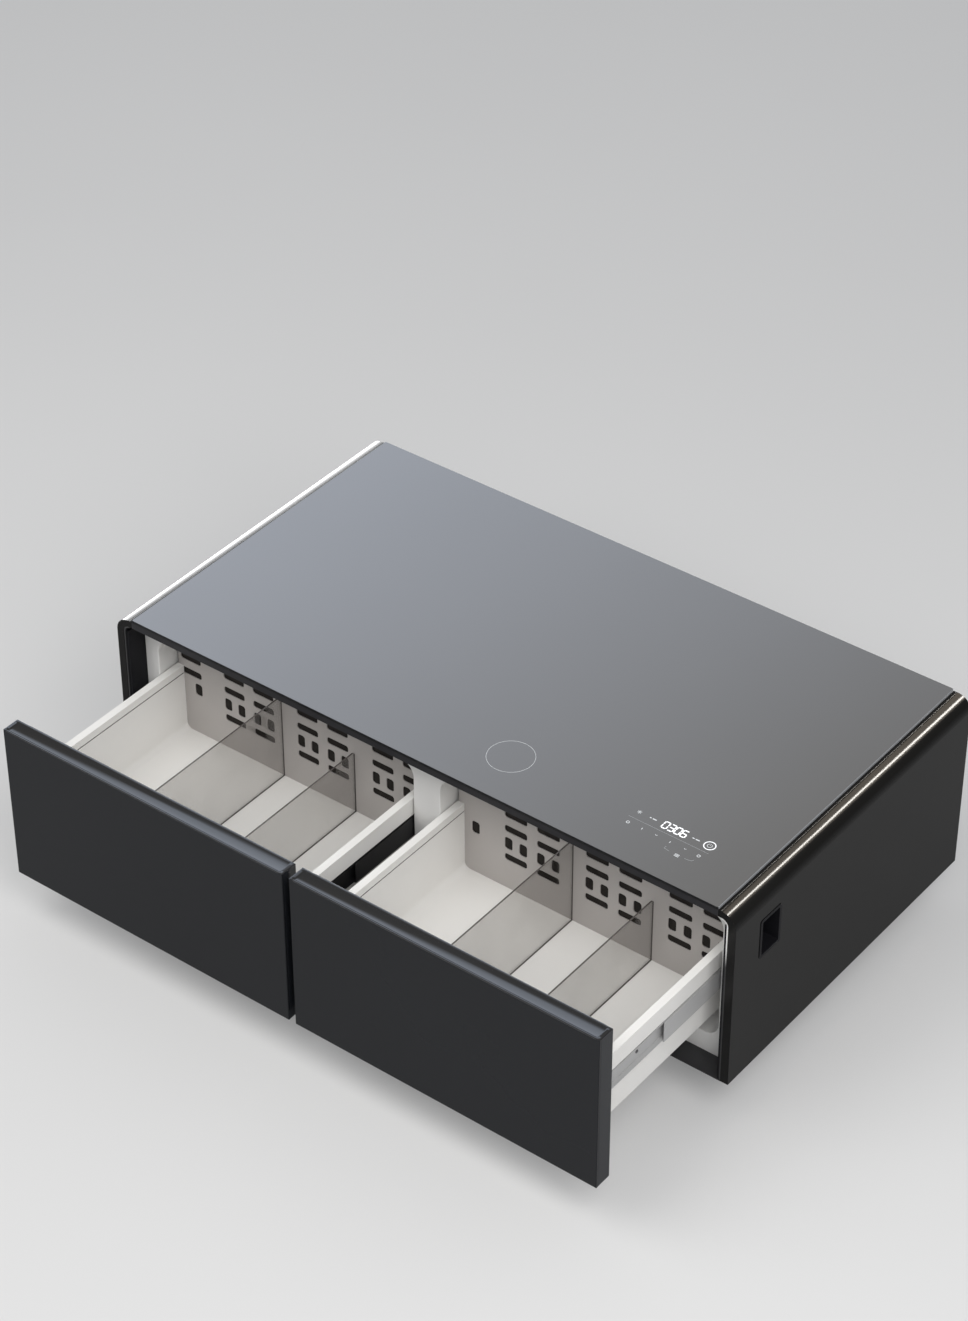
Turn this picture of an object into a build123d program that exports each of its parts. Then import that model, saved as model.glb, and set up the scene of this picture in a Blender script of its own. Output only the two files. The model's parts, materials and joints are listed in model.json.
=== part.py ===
from build123d import *
import math
import os

# Coffee table with two refrigerated drawers, in millimetres.
# +X runs along the drawer side, +Y into the depth, +Z up.
# The origin lies on the floor under the middle of the cabinet.
# Both drawers stand open, as they are at rest.

# Driving dimensions of the whole table
cabinet_width = 1300
cabinet_depth = 700
table_height = 450
ground_clearance = 88
drawer_pull = 318

# Shared fits
running_gap = 0.4
seat_gap = 0.3
cut_overrun = 2

# Glass top
glass_thickness = 5
glass_rise = 4.5
glass_side_inset = 35.5
glass_corner_radius = 4
glass_bevel = 0.8

# Side panels, which wrap over the top edge
edge_width = 15
wrap_thickness = 12.5
corner_radius = 28
inner_corner_radius = 14
shell_edge_radius = 0.6
skin_thickness = 2
front_rim = 44
rear_rim = 22
bottom_rim = 12

# Top deck under the glass
deck_thickness = 12
deck_skin = 3
deck_rim = 18
deck_rib = 3
deck_columns = 8
deck_rows = 4
deck_pad_margin = 6

# Recess that the drawer fronts close into
recess_depth = 44
trim_thickness = 3
trim_depth = 10
trim_setback = 0.8
cheek_thickness = 5
cheek_setback = 3

# Floor plate and back panel
floor_thickness = 1.2
floor_vent_length = 60
floor_vent_width = 8
floor_vent_pitch = 20
floor_vent_count = 14
floor_vent_offset = 110
back_thickness = 1

# Liner tubs
flange_side = 29
opening_top_drop = 42
opening_bottom_rise = 39
mullion_width = 57
liner_flange = 3
liner_wall = 2.5
opening_radius = 29
opening_edge_radius = 2.2

# Insulation and the machine bay behind it
foam_behind_liner = 48
bay_wall_thickness = 1
bay_depth = 200

# Drawer fronts
front_overlap = 21.3
front_thickness = 35
front_top_drop = 42
front_floor_gap = 3.3
fascia_thickness = 5
fascia_bevel = 1
scoop_front_land = 4
scoop_back_land = 4
scoop_depth = 8
scoop_end_wall = 6
front_pocket_inset = 40
front_pocket_floor = 4
inner_panel_thickness = 3
inner_panel_inset = 34
inner_panel_radius = 10
gasket_width = 14
gasket_inset = 7
gasket_bulb = 2.2
gasket_inner_radius = 3

# Drawer bins
rim_height_share = 0.711
bin_floor_share = 0.17
rim_side_gap = 3
skirt_height = 35
skirt_thickness = 2.5
bin_wall = 4
bin_corner_radius = 10
bin_floor_radius = 12
rim_groove_drop = 15
rim_groove_height = 2
rim_groove_depth = 1.5

# Slotted panel at the back of each bin
slotted_thickness = 1.5
slotted_top_drop = 95
slotted_corner_radius = 12
slot_length = 46.5
slot_height = 14.2
slot_radius = 5
slot_pitch = 67
slot_edge_margin = 2
pair_pitch = 166.6
left_pattern_start = -7
right_pattern_start = -16
window_width = 16
window_height = 25.2
slot_row_drops = (10.5, 41.5, 103)
window_row_drop = 67.5

# Clear dividers in the bins
divider_thickness = 3
divider_end_gap = 1
tall_divider_offset = -42
low_divider_offset = 120
tall_divider_drop = 97
low_divider_drop = 141
divider_corner_radius = 6

# Telescopic slides
slide_thickness = 13
slide_height = 45
slide_sheet = 1.4
slide_drop_below_rim = 37
slide_end_margin = 6
cabinet_flange_depth = 9
middle_flange_depth = 9.2
inner_flange_depth = 8.6

# Cooling behind each bin
coil_room = 44
cover_gap = 8.5
cover_thickness = 2
cover_slot_drop = 60
evaporator_fan_diameter = 84
evaporator_fan_offset = 150
fan_ring_wall = 3
fan_ring_depth = 22
fan_hub_diameter = 30
fan_blade_count = 5
fan_blade_thickness = 1.6
fan_blade_twist = 32
fan_tip_gap = 1.5
fan_axle_diameter = 4
spider_arm_width = 8
cover_slot_height = 6
cover_slot_length = 90
cover_slot_pitch = 112
cover_slot_row_pitch = 14
cover_slot_columns = 2
cover_slot_rows = 4
fin_count = 12
fin_pitch = 22
fin_thickness = 0.6
fin_height = 120
fin_depth = 24
end_plate_thickness = 1.2
evaporator_tube = 8
evaporator_tube_rows = 3
evaporator_tube_pitch = 38
evaporator_offset = -60

# Machine bay
compressor_diameter = 130
compressor_height = 155
compressor_dome = 42
compressor_base_radius = 18
compressor_seam = 3
compressor_side_inset = 220
terminal_size = (46, 34, 52)
terminal_radius = 5
compressor_foot_size = 180
compressor_foot_thickness = 3
grommet_height = 16
grommet_diameter = 24
grommet_inset = 16
grommet_waist = 9
grommet_lip_share = 0.3
grommet_pin_radius = 3
condenser_width = 210
condenser_height = 170
condenser_depth = 44
condenser_tube = 6
condenser_tube_rows = 3
condenser_fin_count = 12
condenser_fin_thickness = 0.8
condenser_offset = -40
condenser_foot = 12
cooling_fan_diameter = 152
cooling_fan_ring = 4
cooling_fan_corner = 10
cooling_fan_depth = 30
cooling_fan_hub = 46
cooling_fan_blades = 5
pipe_diameter = 6
pipe_rise = 70
pipe_lead = 34
pipe_bend_radius = 14
pan_wall = 2
pan_height = 22
pan_length = 286
pan_side_inset = 223
pan_corner_radius = 10
control_box_size = (170, 120, 60)
control_box_side_inset = 400
control_box_radius = 4
lid_thickness = 3
lid_groove = 0.8
hung_box_drop = 12
supply_size = (120, 90, 50)
supply_side_inset = 220
inlet_size = (48, 28)
inlet_flange_size = (62, 40)
inlet_flange_radius = 5
inlet_flange_thickness = 1.5
inlet_wall = 5
inlet_well_size = (26, 19)
inlet_well_radius = 3
inlet_depth = 30
inlet_pin_size = (2, 12, 4)
inlet_pin_pitch = 9
inlet_side_inset = 130
inlet_rise = 70
bay_clearance = 22

# Vents in the back panel
vent_length = 90
vent_height = 7
vent_pitch = 22
vent_columns = 4
vent_column_pitch = 116
vent_rows = 6
vent_centre_offset = 235
vent_rise = 116

# Power socket recess in the right side
socket_front_setback = 77
socket_length = 48
socket_top_drop = 66
socket_height = 69
socket_depth = 38
socket_wall = 2.5
socket_lip = 3
socket_lip_thickness = 0.8
socket_corner_radius = 5
outlet_thickness = 6
outlet_radius = 17
outlet_depth = 3
outlet_pin_length = 7
outlet_pin_width = 2
outlet_pin_spread = 6.4
usb_length = 13
usb_height = 5
usb_pitch = 18

# Controls under the glass
charger_offset = (132, 102)
charger_diameter = 86
charger_thickness = 7
charger_groove_width = 7
charger_groove_depth = 0.8
display_side_inset = 162.5
display_front_inset = 98
display_size = (170, 70, 8)
display_board_thickness = 2
display_light_inset = 4
deck_pocket_gap = 0.5

# Light strips above the drawers
light_length = 420
light_width = 12
light_height = 6
light_setback = 30

# Base frame and levelling feet
base_side_inset = 170
base_front_inset = 150
base_rear_inset = 110
base_tube_width = 40
base_tube_height = 55
base_tube_wall = 2
base_corner_radius = 3
foot_diameter = 44
foot_height = 12
foot_stem_diameter = 12
foot_inset = 20
foot_pad_height = 6
foot_collar_diameter = 24
foot_edge = 0.8
foot_stem_length = 28

# Screws that hold the bins to their fronts
screw_head_diameter = 9
screw_head_height = 3
screw_spread_shares = (-0.4, 0, 0.4)
screw_drop = 60

# Heights and planes worked out from the sizes above
half_width = cabinet_width / 2
front_plane = -cabinet_depth / 2
back_plane = cabinet_depth / 2
body_bottom = ground_clearance
glass_bottom = table_height - glass_thickness
shell_top = table_height - glass_rise
deck_bottom = glass_bottom - deck_thickness
floor_top = body_bottom + floor_thickness
glass_half_width = half_width - glass_side_inset
wrap_end = glass_half_width + running_gap
recess_half_width = half_width - edge_width - trim_thickness - cheek_thickness
recess_top = deck_bottom - trim_thickness
liner_face = front_plane + recess_depth
bay_back = back_plane - back_thickness
bay_front = bay_back - bay_depth
foam_back = bay_front - bay_wall_thickness
liner_back = foam_back - foam_behind_liner
opening_outer = recess_half_width - flange_side
opening_inner = mullion_width / 2
opening_half = (opening_outer - opening_inner) / 2
compartment_centre = (opening_outer + opening_inner) / 2
opening_top = deck_bottom - opening_top_drop
opening_bottom = floor_top + opening_bottom_rise
opening_height = opening_top - opening_bottom
front_half = opening_half + front_overlap
front_top = table_height - front_top_drop
front_bottom = floor_top + front_floor_gap
front_back = front_plane + front_thickness
bin_front = front_back + inner_panel_thickness
bin_back = liner_back - coil_room
rim_top = opening_bottom + rim_height_share * opening_height
rim_half = opening_half - rim_side_gap
wall_half = opening_half - slide_thickness
cavity_half = wall_half - bin_wall
bin_bottom = opening_bottom + bin_floor_share * opening_height
slide_top = rim_top - slide_drop_below_rim
slide_middle = slide_top - slide_height / 2
slide_front = liner_face + slide_end_margin
slide_length = bin_back - slide_end_margin - slide_front
slotted_top = table_height - slotted_top_drop
cover_front = bin_back + slotted_thickness + cover_gap
cover_back = cover_front + cover_thickness
liner_rear_face = liner_back - liner_wall
compressor_x = compressor_side_inset - half_width
inlet_x = half_width - inlet_side_inset


def slab(x_span, y_span, z_span):
    """A rectangular solid between three pairs of limits."""
    spans = (x_span, y_span, z_span)
    low = [min(span) for span in spans]
    size = [abs(span[1] - span[0]) for span in spans]
    return Pos(*low) * Box(*size, align=(Align.MIN, Align.MIN, Align.MIN))


def along_x(profile, x_span):
    """Carries a profile drawn in Y and Z along X."""
    plane = Plane(origin=(min(x_span), 0, 0), x_dir=(0, 1, 0), z_dir=(1, 0, 0))
    return extrude(plane * profile, amount=abs(x_span[1] - x_span[0]))


def along_y(profile, y_span):
    """Carries a profile drawn in X and Z along Y."""
    plane = Plane(origin=(0, max(y_span), 0), x_dir=(1, 0, 0), z_dir=(0, -1, 0))
    return extrude(plane * profile, amount=abs(y_span[1] - y_span[0]))


def along_z(profile, z_span):
    """Carries a profile drawn in X and Y along Z."""
    return extrude(Pos(0, 0, min(z_span)) * profile, amount=abs(z_span[1] - z_span[0]))


def rounded(width, height, radius, centre=(0, 0)):
    """A rounded rectangle about a centre."""
    return Pos(*centre) * RectangleRounded(width, height, radius)


def span_face(first_span, second_span, radius=0):
    """A rectangle between two pairs of limits, with rounded corners if asked."""
    centre = (sum(first_span) / 2, sum(second_span) / 2)
    width = abs(first_span[1] - first_span[0])
    height = abs(second_span[1] - second_span[0])
    if radius:
        return rounded(width, height, radius, centre)
    return Pos(*centre) * Rectangle(width, height)


def outline(*points):
    """A face with straight edges through the points."""
    return make_face(Polyline(*points, close=True))


def cylinder_y(radius, y_span, centre):
    """A round bar along Y about a centre given in X and Z."""
    return along_y(Pos(*centre) * Circle(radius), y_span)


def both_sides(shape):
    """The shape and its mirror image across the middle of the cabinet."""
    return shape + mirror(shape, about=Plane.YZ)


def glass_top():
    """Tempered glass sheet with ground edges."""
    sheet = along_z(
        rounded(2 * glass_half_width, cabinet_depth, glass_corner_radius),
        (glass_bottom, table_height),
    )
    return chamfer(sheet.edges().group_by(Axis.Z)[-1], glass_bevel)


def side_panel():
    """Right side cover: it wraps over the top edge and is hollow behind its rims."""
    outer = outline(
        (half_width, body_bottom),
        (half_width, shell_top),
        (wrap_end, shell_top),
        (wrap_end, shell_top - wrap_thickness),
        (half_width - edge_width, shell_top - wrap_thickness),
        (half_width - edge_width, body_bottom),
    )
    corners = outer.vertices()
    outer_corner = corners.sort_by_distance((half_width, shell_top, 0))[0]
    inner_corner = corners.sort_by_distance((half_width - edge_width, shell_top - wrap_thickness, 0))[0]
    outer = fillet(outer_corner, corner_radius)
    inner_corner = outer.vertices().sort_by_distance(inner_corner)[0]
    outer = fillet(inner_corner, inner_corner_radius)
    panel = along_y(outer, (front_plane, back_plane))
    front_edges = panel.edges().group_by(Axis.Y)[0]
    side_edges = [edge for edge in front_edges if edge.bounding_box().max.X > half_width - seat_gap]
    upper_edges = [edge for edge in front_edges if edge.bounding_box().min.Z > shell_top - seat_gap]
    panel = fillet(side_edges + upper_edges, shell_edge_radius)
    pocket = slab(
        (half_width - edge_width - cut_overrun, half_width - skin_thickness),
        (front_plane + front_rim, back_plane - rear_rim),
        (body_bottom + bottom_rim, shell_top - corner_radius),
    )
    return panel - pocket


def socket_limits(margin):
    """Limits in Y and Z of the socket recess, grown by a margin."""
    start = front_plane + socket_front_setback
    top = table_height - socket_top_drop
    y_span = (start - margin, start + socket_length + margin)
    z_span = (top - socket_height - margin, top + margin)
    return y_span, z_span


def right_side_panel():
    """Right side cover with the cut for the socket box."""
    y_span, z_span = socket_limits(socket_wall + seat_gap)
    cut = along_x(
        span_face(y_span, z_span, socket_corner_radius),
        (half_width - edge_width - cut_overrun, half_width + cut_overrun),
    )
    return side_panel() - cut


def socket_box():
    """Recessed box in the right side, with a thin lip on the cover."""
    outer = socket_limits(socket_wall)
    inner = socket_limits(0)
    lip = socket_limits(socket_wall + socket_lip)
    mouth = half_width + seat_gap
    back = half_width - socket_depth
    box = along_x(span_face(*outer, socket_corner_radius), (back, mouth))
    box += along_x(span_face(*lip, socket_corner_radius), (mouth, mouth + socket_lip_thickness))
    hollow = along_x(
        span_face(*inner, socket_corner_radius - socket_wall),
        (back + socket_wall, mouth + cut_overrun),
    )
    return box - hollow


def socket_outlet():
    """Outlet insert at the bottom of the recess, with round well and charging ports."""
    (y_low, y_high), (z_low, z_high) = socket_limits(-running_gap)
    back = half_width - socket_depth + socket_wall
    insert = along_x(
        span_face((y_low, y_high), (z_low, z_high), socket_corner_radius - socket_wall),
        (back, back + outlet_thickness),
    )
    face = back + outlet_thickness
    middle_y = (y_low + y_high) / 2
    well_z = z_high - outlet_radius - socket_wall
    shallow = (face - outlet_depth, face + cut_overrun)
    insert -= along_x(Pos(middle_y, well_z) * Circle(outlet_radius), shallow)
    pin_hole = Rectangle(outlet_pin_width, outlet_pin_length)
    port = Rectangle(usb_length, usb_height)
    port_z = z_low + usb_pitch / 2
    for side in (-1, 1):
        pin_place = Pos(middle_y + side * outlet_pin_spread, well_z)
        port_place = Pos(middle_y + side * usb_pitch / 2, port_z)
        insert -= along_x(pin_place * pin_hole, (back, face + cut_overrun))
        insert -= along_x(port_place * port, shallow)
    return insert


def top_deck():
    """Moulded deck that carries the glass: ribs below, pockets above for the electronics."""
    deck = slab((-glass_half_width, glass_half_width), (front_plane, back_plane), (deck_bottom, glass_bottom))
    length = 2 * (glass_half_width - deck_rim)
    depth = cabinet_depth - 2 * deck_rim
    cell_x = (length + deck_rib) / deck_columns
    cell_y = (depth + deck_rib) / deck_rows
    cells = GridLocations(cell_x, cell_y, deck_columns, deck_rows) * Rectangle(
        cell_x - deck_rib, cell_y - deck_rib
    )
    ribs_below = (deck_bottom - cut_overrun, glass_bottom - deck_skin)
    deck -= along_z(Sketch() + cells, ribs_below)
    pads = Pos(*charger_place()) * Circle(charger_diameter / 2 + deck_pad_margin)
    pads += Pos(*display_place()) * Rectangle(
        display_size[0] + 2 * deck_pad_margin,
        display_size[1] + 2 * deck_pad_margin,
    )
    deck += along_z(pads, (deck_bottom, glass_bottom))
    charger = Pos(*charger_place()) * Circle(charger_diameter / 2 + deck_pocket_gap)
    display = Pos(*display_place()) * Rectangle(
        display_size[0] + 2 * deck_pocket_gap,
        display_size[1] + 2 * deck_pocket_gap,
    )
    deck -= along_z(charger, (glass_bottom - charger_thickness, glass_bottom + cut_overrun))
    deck -= along_z(display, (glass_bottom - display_size[2], glass_bottom + cut_overrun))
    return deck


def charger_place():
    """Centre of the charging pad in X and Y."""
    return charger_offset[0], front_plane + charger_offset[1]


def display_place():
    """Centre of the display module in X and Y."""
    return glass_half_width - display_side_inset, front_plane + display_front_inset


def charging_pad():
    """Wireless charging puck with its raised ferrite ring."""
    radius = charger_diameter / 2
    top = glass_bottom - seat_gap
    puck = along_z(Circle(radius), (glass_bottom - charger_thickness, top))
    groove = along_z(
        Circle(radius - charger_groove_width) - Circle(radius - 2 * charger_groove_width),
        (top - charger_groove_depth, top + cut_overrun),
    )
    return Pos(*charger_place(), 0) * (puck - groove)


def display_module():
    """Touch and display board under the glass, with a light box on it."""
    length, width, height = display_size
    board_bottom = glass_bottom - height
    board_top = board_bottom + display_board_thickness
    board = along_z(Rectangle(length, width), (board_bottom, board_top))
    light_box = along_z(
        Rectangle(length - 2 * display_light_inset, width - 2 * display_light_inset),
        (board_top, glass_bottom - seat_gap),
    )
    return Pos(*display_place(), 0) * (board + light_box)


def front_trim():
    """Pale strips lining the front edge on both sides, each ending in a curve under the header."""
    outer_half = half_width - edge_width
    inner_half = outer_half - trim_thickness
    outer_top = shell_top - wrap_thickness
    face = span_face((-outer_half, outer_half), (floor_top, outer_top))
    face = fillet(face.vertices().group_by(Axis.Y)[-1], inner_corner_radius)
    hole = span_face((-inner_half, inner_half), (floor_top - cut_overrun, outer_top - trim_thickness))
    hole = fillet(hole.vertices().group_by(Axis.Y)[-1], inner_corner_radius - trim_thickness)
    middle = outer_half - inner_corner_radius
    hole += span_face((-middle, middle), (floor_top - cut_overrun, outer_top + cut_overrun))
    return along_y(face - hole, (front_plane + trim_setback, front_plane + trim_depth))


def recess_cheeks():
    """Dark side linings of the front recess, from behind the trim to the liner."""
    outer_half = half_width - edge_width
    face = outline(
        (outer_half - trim_thickness, front_plane + cheek_setback),
        (outer_half - trim_thickness, front_plane + trim_depth),
        (outer_half, front_plane + trim_depth),
        (outer_half, liner_face),
        (recess_half_width, liner_face),
        (recess_half_width, front_plane + cheek_setback),
    )
    top = shell_top - wrap_thickness - inner_corner_radius
    return both_sides(along_z(face, (floor_top, top)))


def floor_plate():
    """Bottom plate, with air slots under the machine bay."""
    half = half_width - edge_width
    plate = slab((-half, half), (front_plane, bay_back), (body_bottom, floor_top))
    middle = (-floor_vent_offset, bay_back - bay_clearance - floor_vent_length / 2)
    slots = Sketch() + Pos(*middle) * GridLocations(floor_vent_pitch, 0, floor_vent_count, 1) * (
        Rot(0, 0, 90) * SlotOverall(floor_vent_length, floor_vent_width)
    )
    return plate - along_z(slots, (body_bottom - cut_overrun, floor_top + cut_overrun))


def liner():
    """Right liner tub with its front flange; half of the mullion belongs to it."""
    flange = along_y(
        span_face((0, recess_half_width), (floor_top, recess_top)),
        (liner_face, liner_face + liner_flange),
    )
    opening = ((opening_inner, opening_outer), (opening_bottom, opening_top))
    wall_spans = [(span[0] - liner_wall, span[1] + liner_wall) for span in opening]
    tub = along_y(
        span_face(*wall_spans, opening_radius + liner_wall),
        (liner_face, liner_back),
    )
    hollow = along_y(
        span_face(*opening, opening_radius),
        (liner_face - cut_overrun, liner_rear_face),
    )
    body = flange + tub - hollow
    mouth = body.faces().sort_by(Axis.Y)[0].inner_wires()[0]
    return fillet(mouth.edges(), opening_edge_radius)


def insulation():
    """Foam that fills the room between the covers and both liner tubs."""
    outer = half_width - edge_width
    front = liner_face + liner_flange
    top = deck_bottom
    foam = slab((-outer, outer), (front, foam_back), (floor_top, top))
    pocket_outer = half_width - skin_thickness
    bulge = slab(
        (-pocket_outer, pocket_outer),
        (front_plane + front_rim + liner_flange, foam_back),
        (body_bottom + bottom_rim, shell_top - corner_radius),
    )
    foam += bulge
    corner = (opening_radius + liner_wall)
    room = along_y(
        span_face(
            (opening_inner - liner_wall, opening_outer + liner_wall),
            (opening_bottom - liner_wall, opening_top + liner_wall),
            corner,
        ),
        (front - cut_overrun, liner_back),
    )
    foam -= both_sides(room)
    (y_low, y_high), (z_low, z_high) = socket_limits(socket_wall + socket_lip)
    foam -= both_sides(slab(
        (half_width - socket_depth - seat_gap, half_width),
        (y_low, y_high),
        (z_low, z_high),
    ))
    upper_corner = slab(
        (wrap_end - running_gap, half_width),
        (front - cut_overrun, foam_back + cut_overrun),
        (shell_top - wrap_thickness - inner_corner_radius, table_height),
    )
    return foam - both_sides(upper_corner)


def bay_wall():
    """Steel wall between the insulation and the machine bay."""
    half = half_width - edge_width
    top = shell_top - wrap_thickness - inner_corner_radius
    return slab((-half, half), (foam_back, bay_front), (floor_top, top))


def back_panel():
    """Rear cover with rows of vent slots and the cut for the power inlet."""
    half = half_width - edge_width
    face = span_face((-half, half), (floor_top, deck_bottom))
    face = fillet(face.vertices().group_by(Axis.Y)[-1], inner_corner_radius)
    panel = along_y(face, (bay_back, back_plane))
    vents = Sketch()
    for side in (-1, 1):
        for column in range(vent_columns):
            x = side * vent_centre_offset + (column - (vent_columns - 1) / 2) * vent_column_pitch
            for row in range(vent_rows):
                z = body_bottom + vent_rise + row * vent_pitch
                vents += Pos(x, z) * SlotOverall(vent_length, vent_height)
    cuts = along_y(vents, (bay_back - cut_overrun, back_plane + cut_overrun))
    inlet = Pos(inlet_x, inlet_centre()) * Rectangle(
        inlet_size[0] + 2 * seat_gap,
        inlet_size[1] + 2 * seat_gap,
    )
    return panel - cuts - along_y(inlet, (bay_back - cut_overrun, back_plane + cut_overrun))


def inlet_centre():
    """Height of the power inlet."""
    return body_bottom + inlet_rise


def power_inlet():
    """Three-pin inlet body with its flange and pins."""
    centre = (inlet_x, inlet_centre())
    body = along_y(
        Pos(*centre) * Rectangle(*inlet_size),
        (back_plane - inlet_depth, back_plane),
    )
    flange = along_y(
        Pos(*centre) * RectangleRounded(*inlet_flange_size, inlet_flange_radius),
        (back_plane, back_plane + inlet_flange_thickness),
    )
    well = along_y(
        Pos(*centre) * RectangleRounded(*inlet_well_size, inlet_well_radius),
        (back_plane - inlet_depth + inlet_wall, back_plane + inlet_flange_thickness + cut_overrun),
    )
    inlet = body + flange - well
    for step in (-1, 0, 1):
        pin = Pos(
            inlet_x + step * inlet_pin_pitch,
            back_plane - inlet_depth + inlet_wall,
            inlet_centre() + abs(step) * inlet_pin_size[2] / 2,
        )
        inlet += pin * Box(inlet_pin_size[0], 2 * inlet_pin_size[1], inlet_pin_size[2])
    return inlet


def channel(web_u, tip_u, half_height, sheet):
    """A C profile: web at one depth, flanges towards the other, about the slide's middle."""
    direction = 1 if tip_u > web_u else -1
    return outline(
        (web_u, -half_height),
        (tip_u, -half_height),
        (tip_u, -half_height + sheet),
        (web_u + direction * sheet, -half_height + sheet),
        (web_u + direction * sheet, half_height - sheet),
        (tip_u, half_height - sheet),
        (tip_u, half_height),
        (web_u, half_height),
    )


def slide_member(profile, travel):
    """A pair of slide members in one compartment, drawn out by their travel."""
    start = slide_front - travel
    bar = along_y(Pos(opening_half, slide_middle) * profile, (start, start + slide_length))
    return both_sides(bar)


def cabinet_rails():
    """Outer slide members, fixed to the liner's side walls."""
    return slide_member(channel(0, -cabinet_flange_depth, slide_height / 2, slide_sheet), 0)


def middle_rails():
    """Middle slide members, which travel half as far as the drawer."""
    web = -slide_sheet - running_gap
    half_height = slide_height / 2 - slide_sheet - running_gap
    return slide_member(channel(web, web - middle_flange_depth, half_height, slide_sheet), drawer_pull / 2)


def drawer_rails():
    """Inner slide members, fixed to the bin's walls."""
    half_height = slide_height / 2 - 2 * (slide_sheet + running_gap)
    profile = channel(-slide_thickness, -slide_thickness + inner_flange_depth, half_height, slide_sheet)
    return slide_member(profile, drawer_pull)


def drawer_fascia():
    """Dark glass face of a drawer front, with its polished lower edge."""
    sheet = along_y(
        span_face((-front_half, front_half), (front_bottom, front_top)),
        (front_plane, front_plane + fascia_thickness),
    )
    return chamfer(sheet.edges().group_by(Axis.Y)[0], fascia_bevel)


def drawer_front():
    """Moulded front body: a scooped finger pull along its top, a pocket behind."""
    y_front = front_plane + fascia_thickness
    face = span_face((y_front, front_back), (front_bottom, front_top))
    scoop_start = y_front + scoop_front_land - fascia_thickness
    scoop_end = front_back - scoop_back_land
    scoop_middle = (scoop_start + scoop_end) / 2
    over = front_top + cut_overrun
    rear_edge = (scoop_end, front_top)
    front_edge = (scoop_start, front_top)
    scoop = make_face(
        ThreePointArc(rear_edge, (scoop_middle, front_top - scoop_depth), front_edge)
        + Polyline(front_edge, (scoop_start, over), (scoop_end, over), rear_edge)
    )
    scoop_half = front_half - scoop_end_wall
    body = along_x(face, (-front_half, front_half)) - along_x(scoop, (-scoop_half, scoop_half))
    pocket_half = front_half - front_pocket_inset
    pocket = slab(
        (-pocket_half, pocket_half),
        (y_front + front_pocket_floor, front_back + cut_overrun),
        (front_bottom + front_pocket_inset, front_top - front_pocket_inset),
    )
    return body - pocket


def drawer_inner_panel():
    """Pale inner panel on the back of a drawer front."""
    x_half = front_half - inner_panel_inset
    z_span = (front_bottom + inner_panel_inset, front_top - inner_panel_inset)
    return along_y(
        span_face((-x_half, x_half), z_span, inner_panel_radius),
        (front_back, front_back + inner_panel_thickness),
    )


def drawer_gasket():
    """Soft seal around the inner panel, with a rounded sealing bulb."""
    outer_half = front_half - gasket_inset
    inner_half = outer_half - gasket_width
    outer_z = (front_bottom + gasket_inset, front_top - gasket_inset)
    inner_z = (outer_z[0] + gasket_width, outer_z[1] - gasket_width)
    seal_back = liner_face - running_gap
    ring = span_face((-outer_half, outer_half), outer_z, gasket_inner_radius + gasket_width)
    ring -= span_face((-inner_half, inner_half), inner_z, gasket_inner_radius)
    seal = along_y(ring, (front_back, seal_back))
    return chamfer(seal.edges().group_by(Axis.Y)[-1], gasket_bulb)


def drawer_bin():
    """Moulded bin: walls and floor, a folded rim with a skirt, open at the back."""
    cup = slab((-wall_half, wall_half), (bin_front, bin_back), (bin_bottom, rim_top))
    rim = slab((-rim_half, rim_half), (bin_front, bin_back), (rim_top - skirt_height, rim_top))
    under = slab(
        (-rim_half + skirt_thickness, rim_half - skirt_thickness),
        (bin_front - cut_overrun, bin_back + cut_overrun),
        (rim_top - skirt_height - cut_overrun, rim_top - skirt_thickness),
    )
    body = cup + (rim - under)
    cavity = slab(
        (-cavity_half, cavity_half),
        (bin_front + bin_wall, bin_back + cut_overrun),
        (bin_bottom + bin_wall, rim_top + cut_overrun),
    )
    cavity = fillet(
        cavity.edges().filter_by(Axis.Z).group_by(Axis.Y)[0],
        bin_corner_radius,
    )
    cavity = fillet(
        cavity.edges().filter_by(Axis.Y).group_by(Axis.Z)[0],
        bin_floor_radius,
    )
    groove = slab(
        (-cavity_half - rim_groove_depth, cavity_half + rim_groove_depth),
        (bin_front + bin_wall, bin_back + cut_overrun),
        (rim_top - rim_groove_drop - rim_groove_height, rim_top - rim_groove_drop),
    )
    return body - cavity - groove


def air_holes(pattern_start, length, height, drop, offsets, room):
    """One row of rounded holes in a slotted panel, as far as they fit in half its width."""
    row = Sketch()
    for pair in (-2, -1, 0, 1):
        for step in (0, 1):
            for offset in offsets:
                start = pattern_start + pair * pair_pitch + step * slot_pitch + offset
                if -room < start and start + length < room:
                    place = Pos(start + length / 2, slotted_top - drop - height / 2)
                    row += place * RectangleRounded(length, height, slot_radius)
    return row


def slotted_panel(pattern_start):
    """Back panel of a bin, with rows of air slots and a row of paired upright windows."""
    upper_half = rim_half - skirt_thickness
    panel_face = span_face((-upper_half, upper_half), (rim_top - skirt_height, slotted_top))
    panel_face = fillet(panel_face.vertices().group_by(Axis.Y)[-1], slotted_corner_radius)
    panel_face += span_face((-wall_half, wall_half), (bin_bottom, rim_top - skirt_height))
    room = wall_half - slot_edge_margin
    upper_room = upper_half - slot_edge_margin
    for drop in slot_row_drops:
        above_skirt = slotted_top - drop - slot_height > rim_top - skirt_height
        row_room = upper_room if above_skirt else room
        panel_face -= air_holes(pattern_start, slot_length, slot_height, drop, (0,), row_room)
    window_offsets = (0, slot_length - window_width)
    panel_face -= air_holes(
        pattern_start, window_width, window_height, window_row_drop, window_offsets, room
    )
    return along_y(panel_face, (bin_back, bin_back + slotted_thickness))


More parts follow.
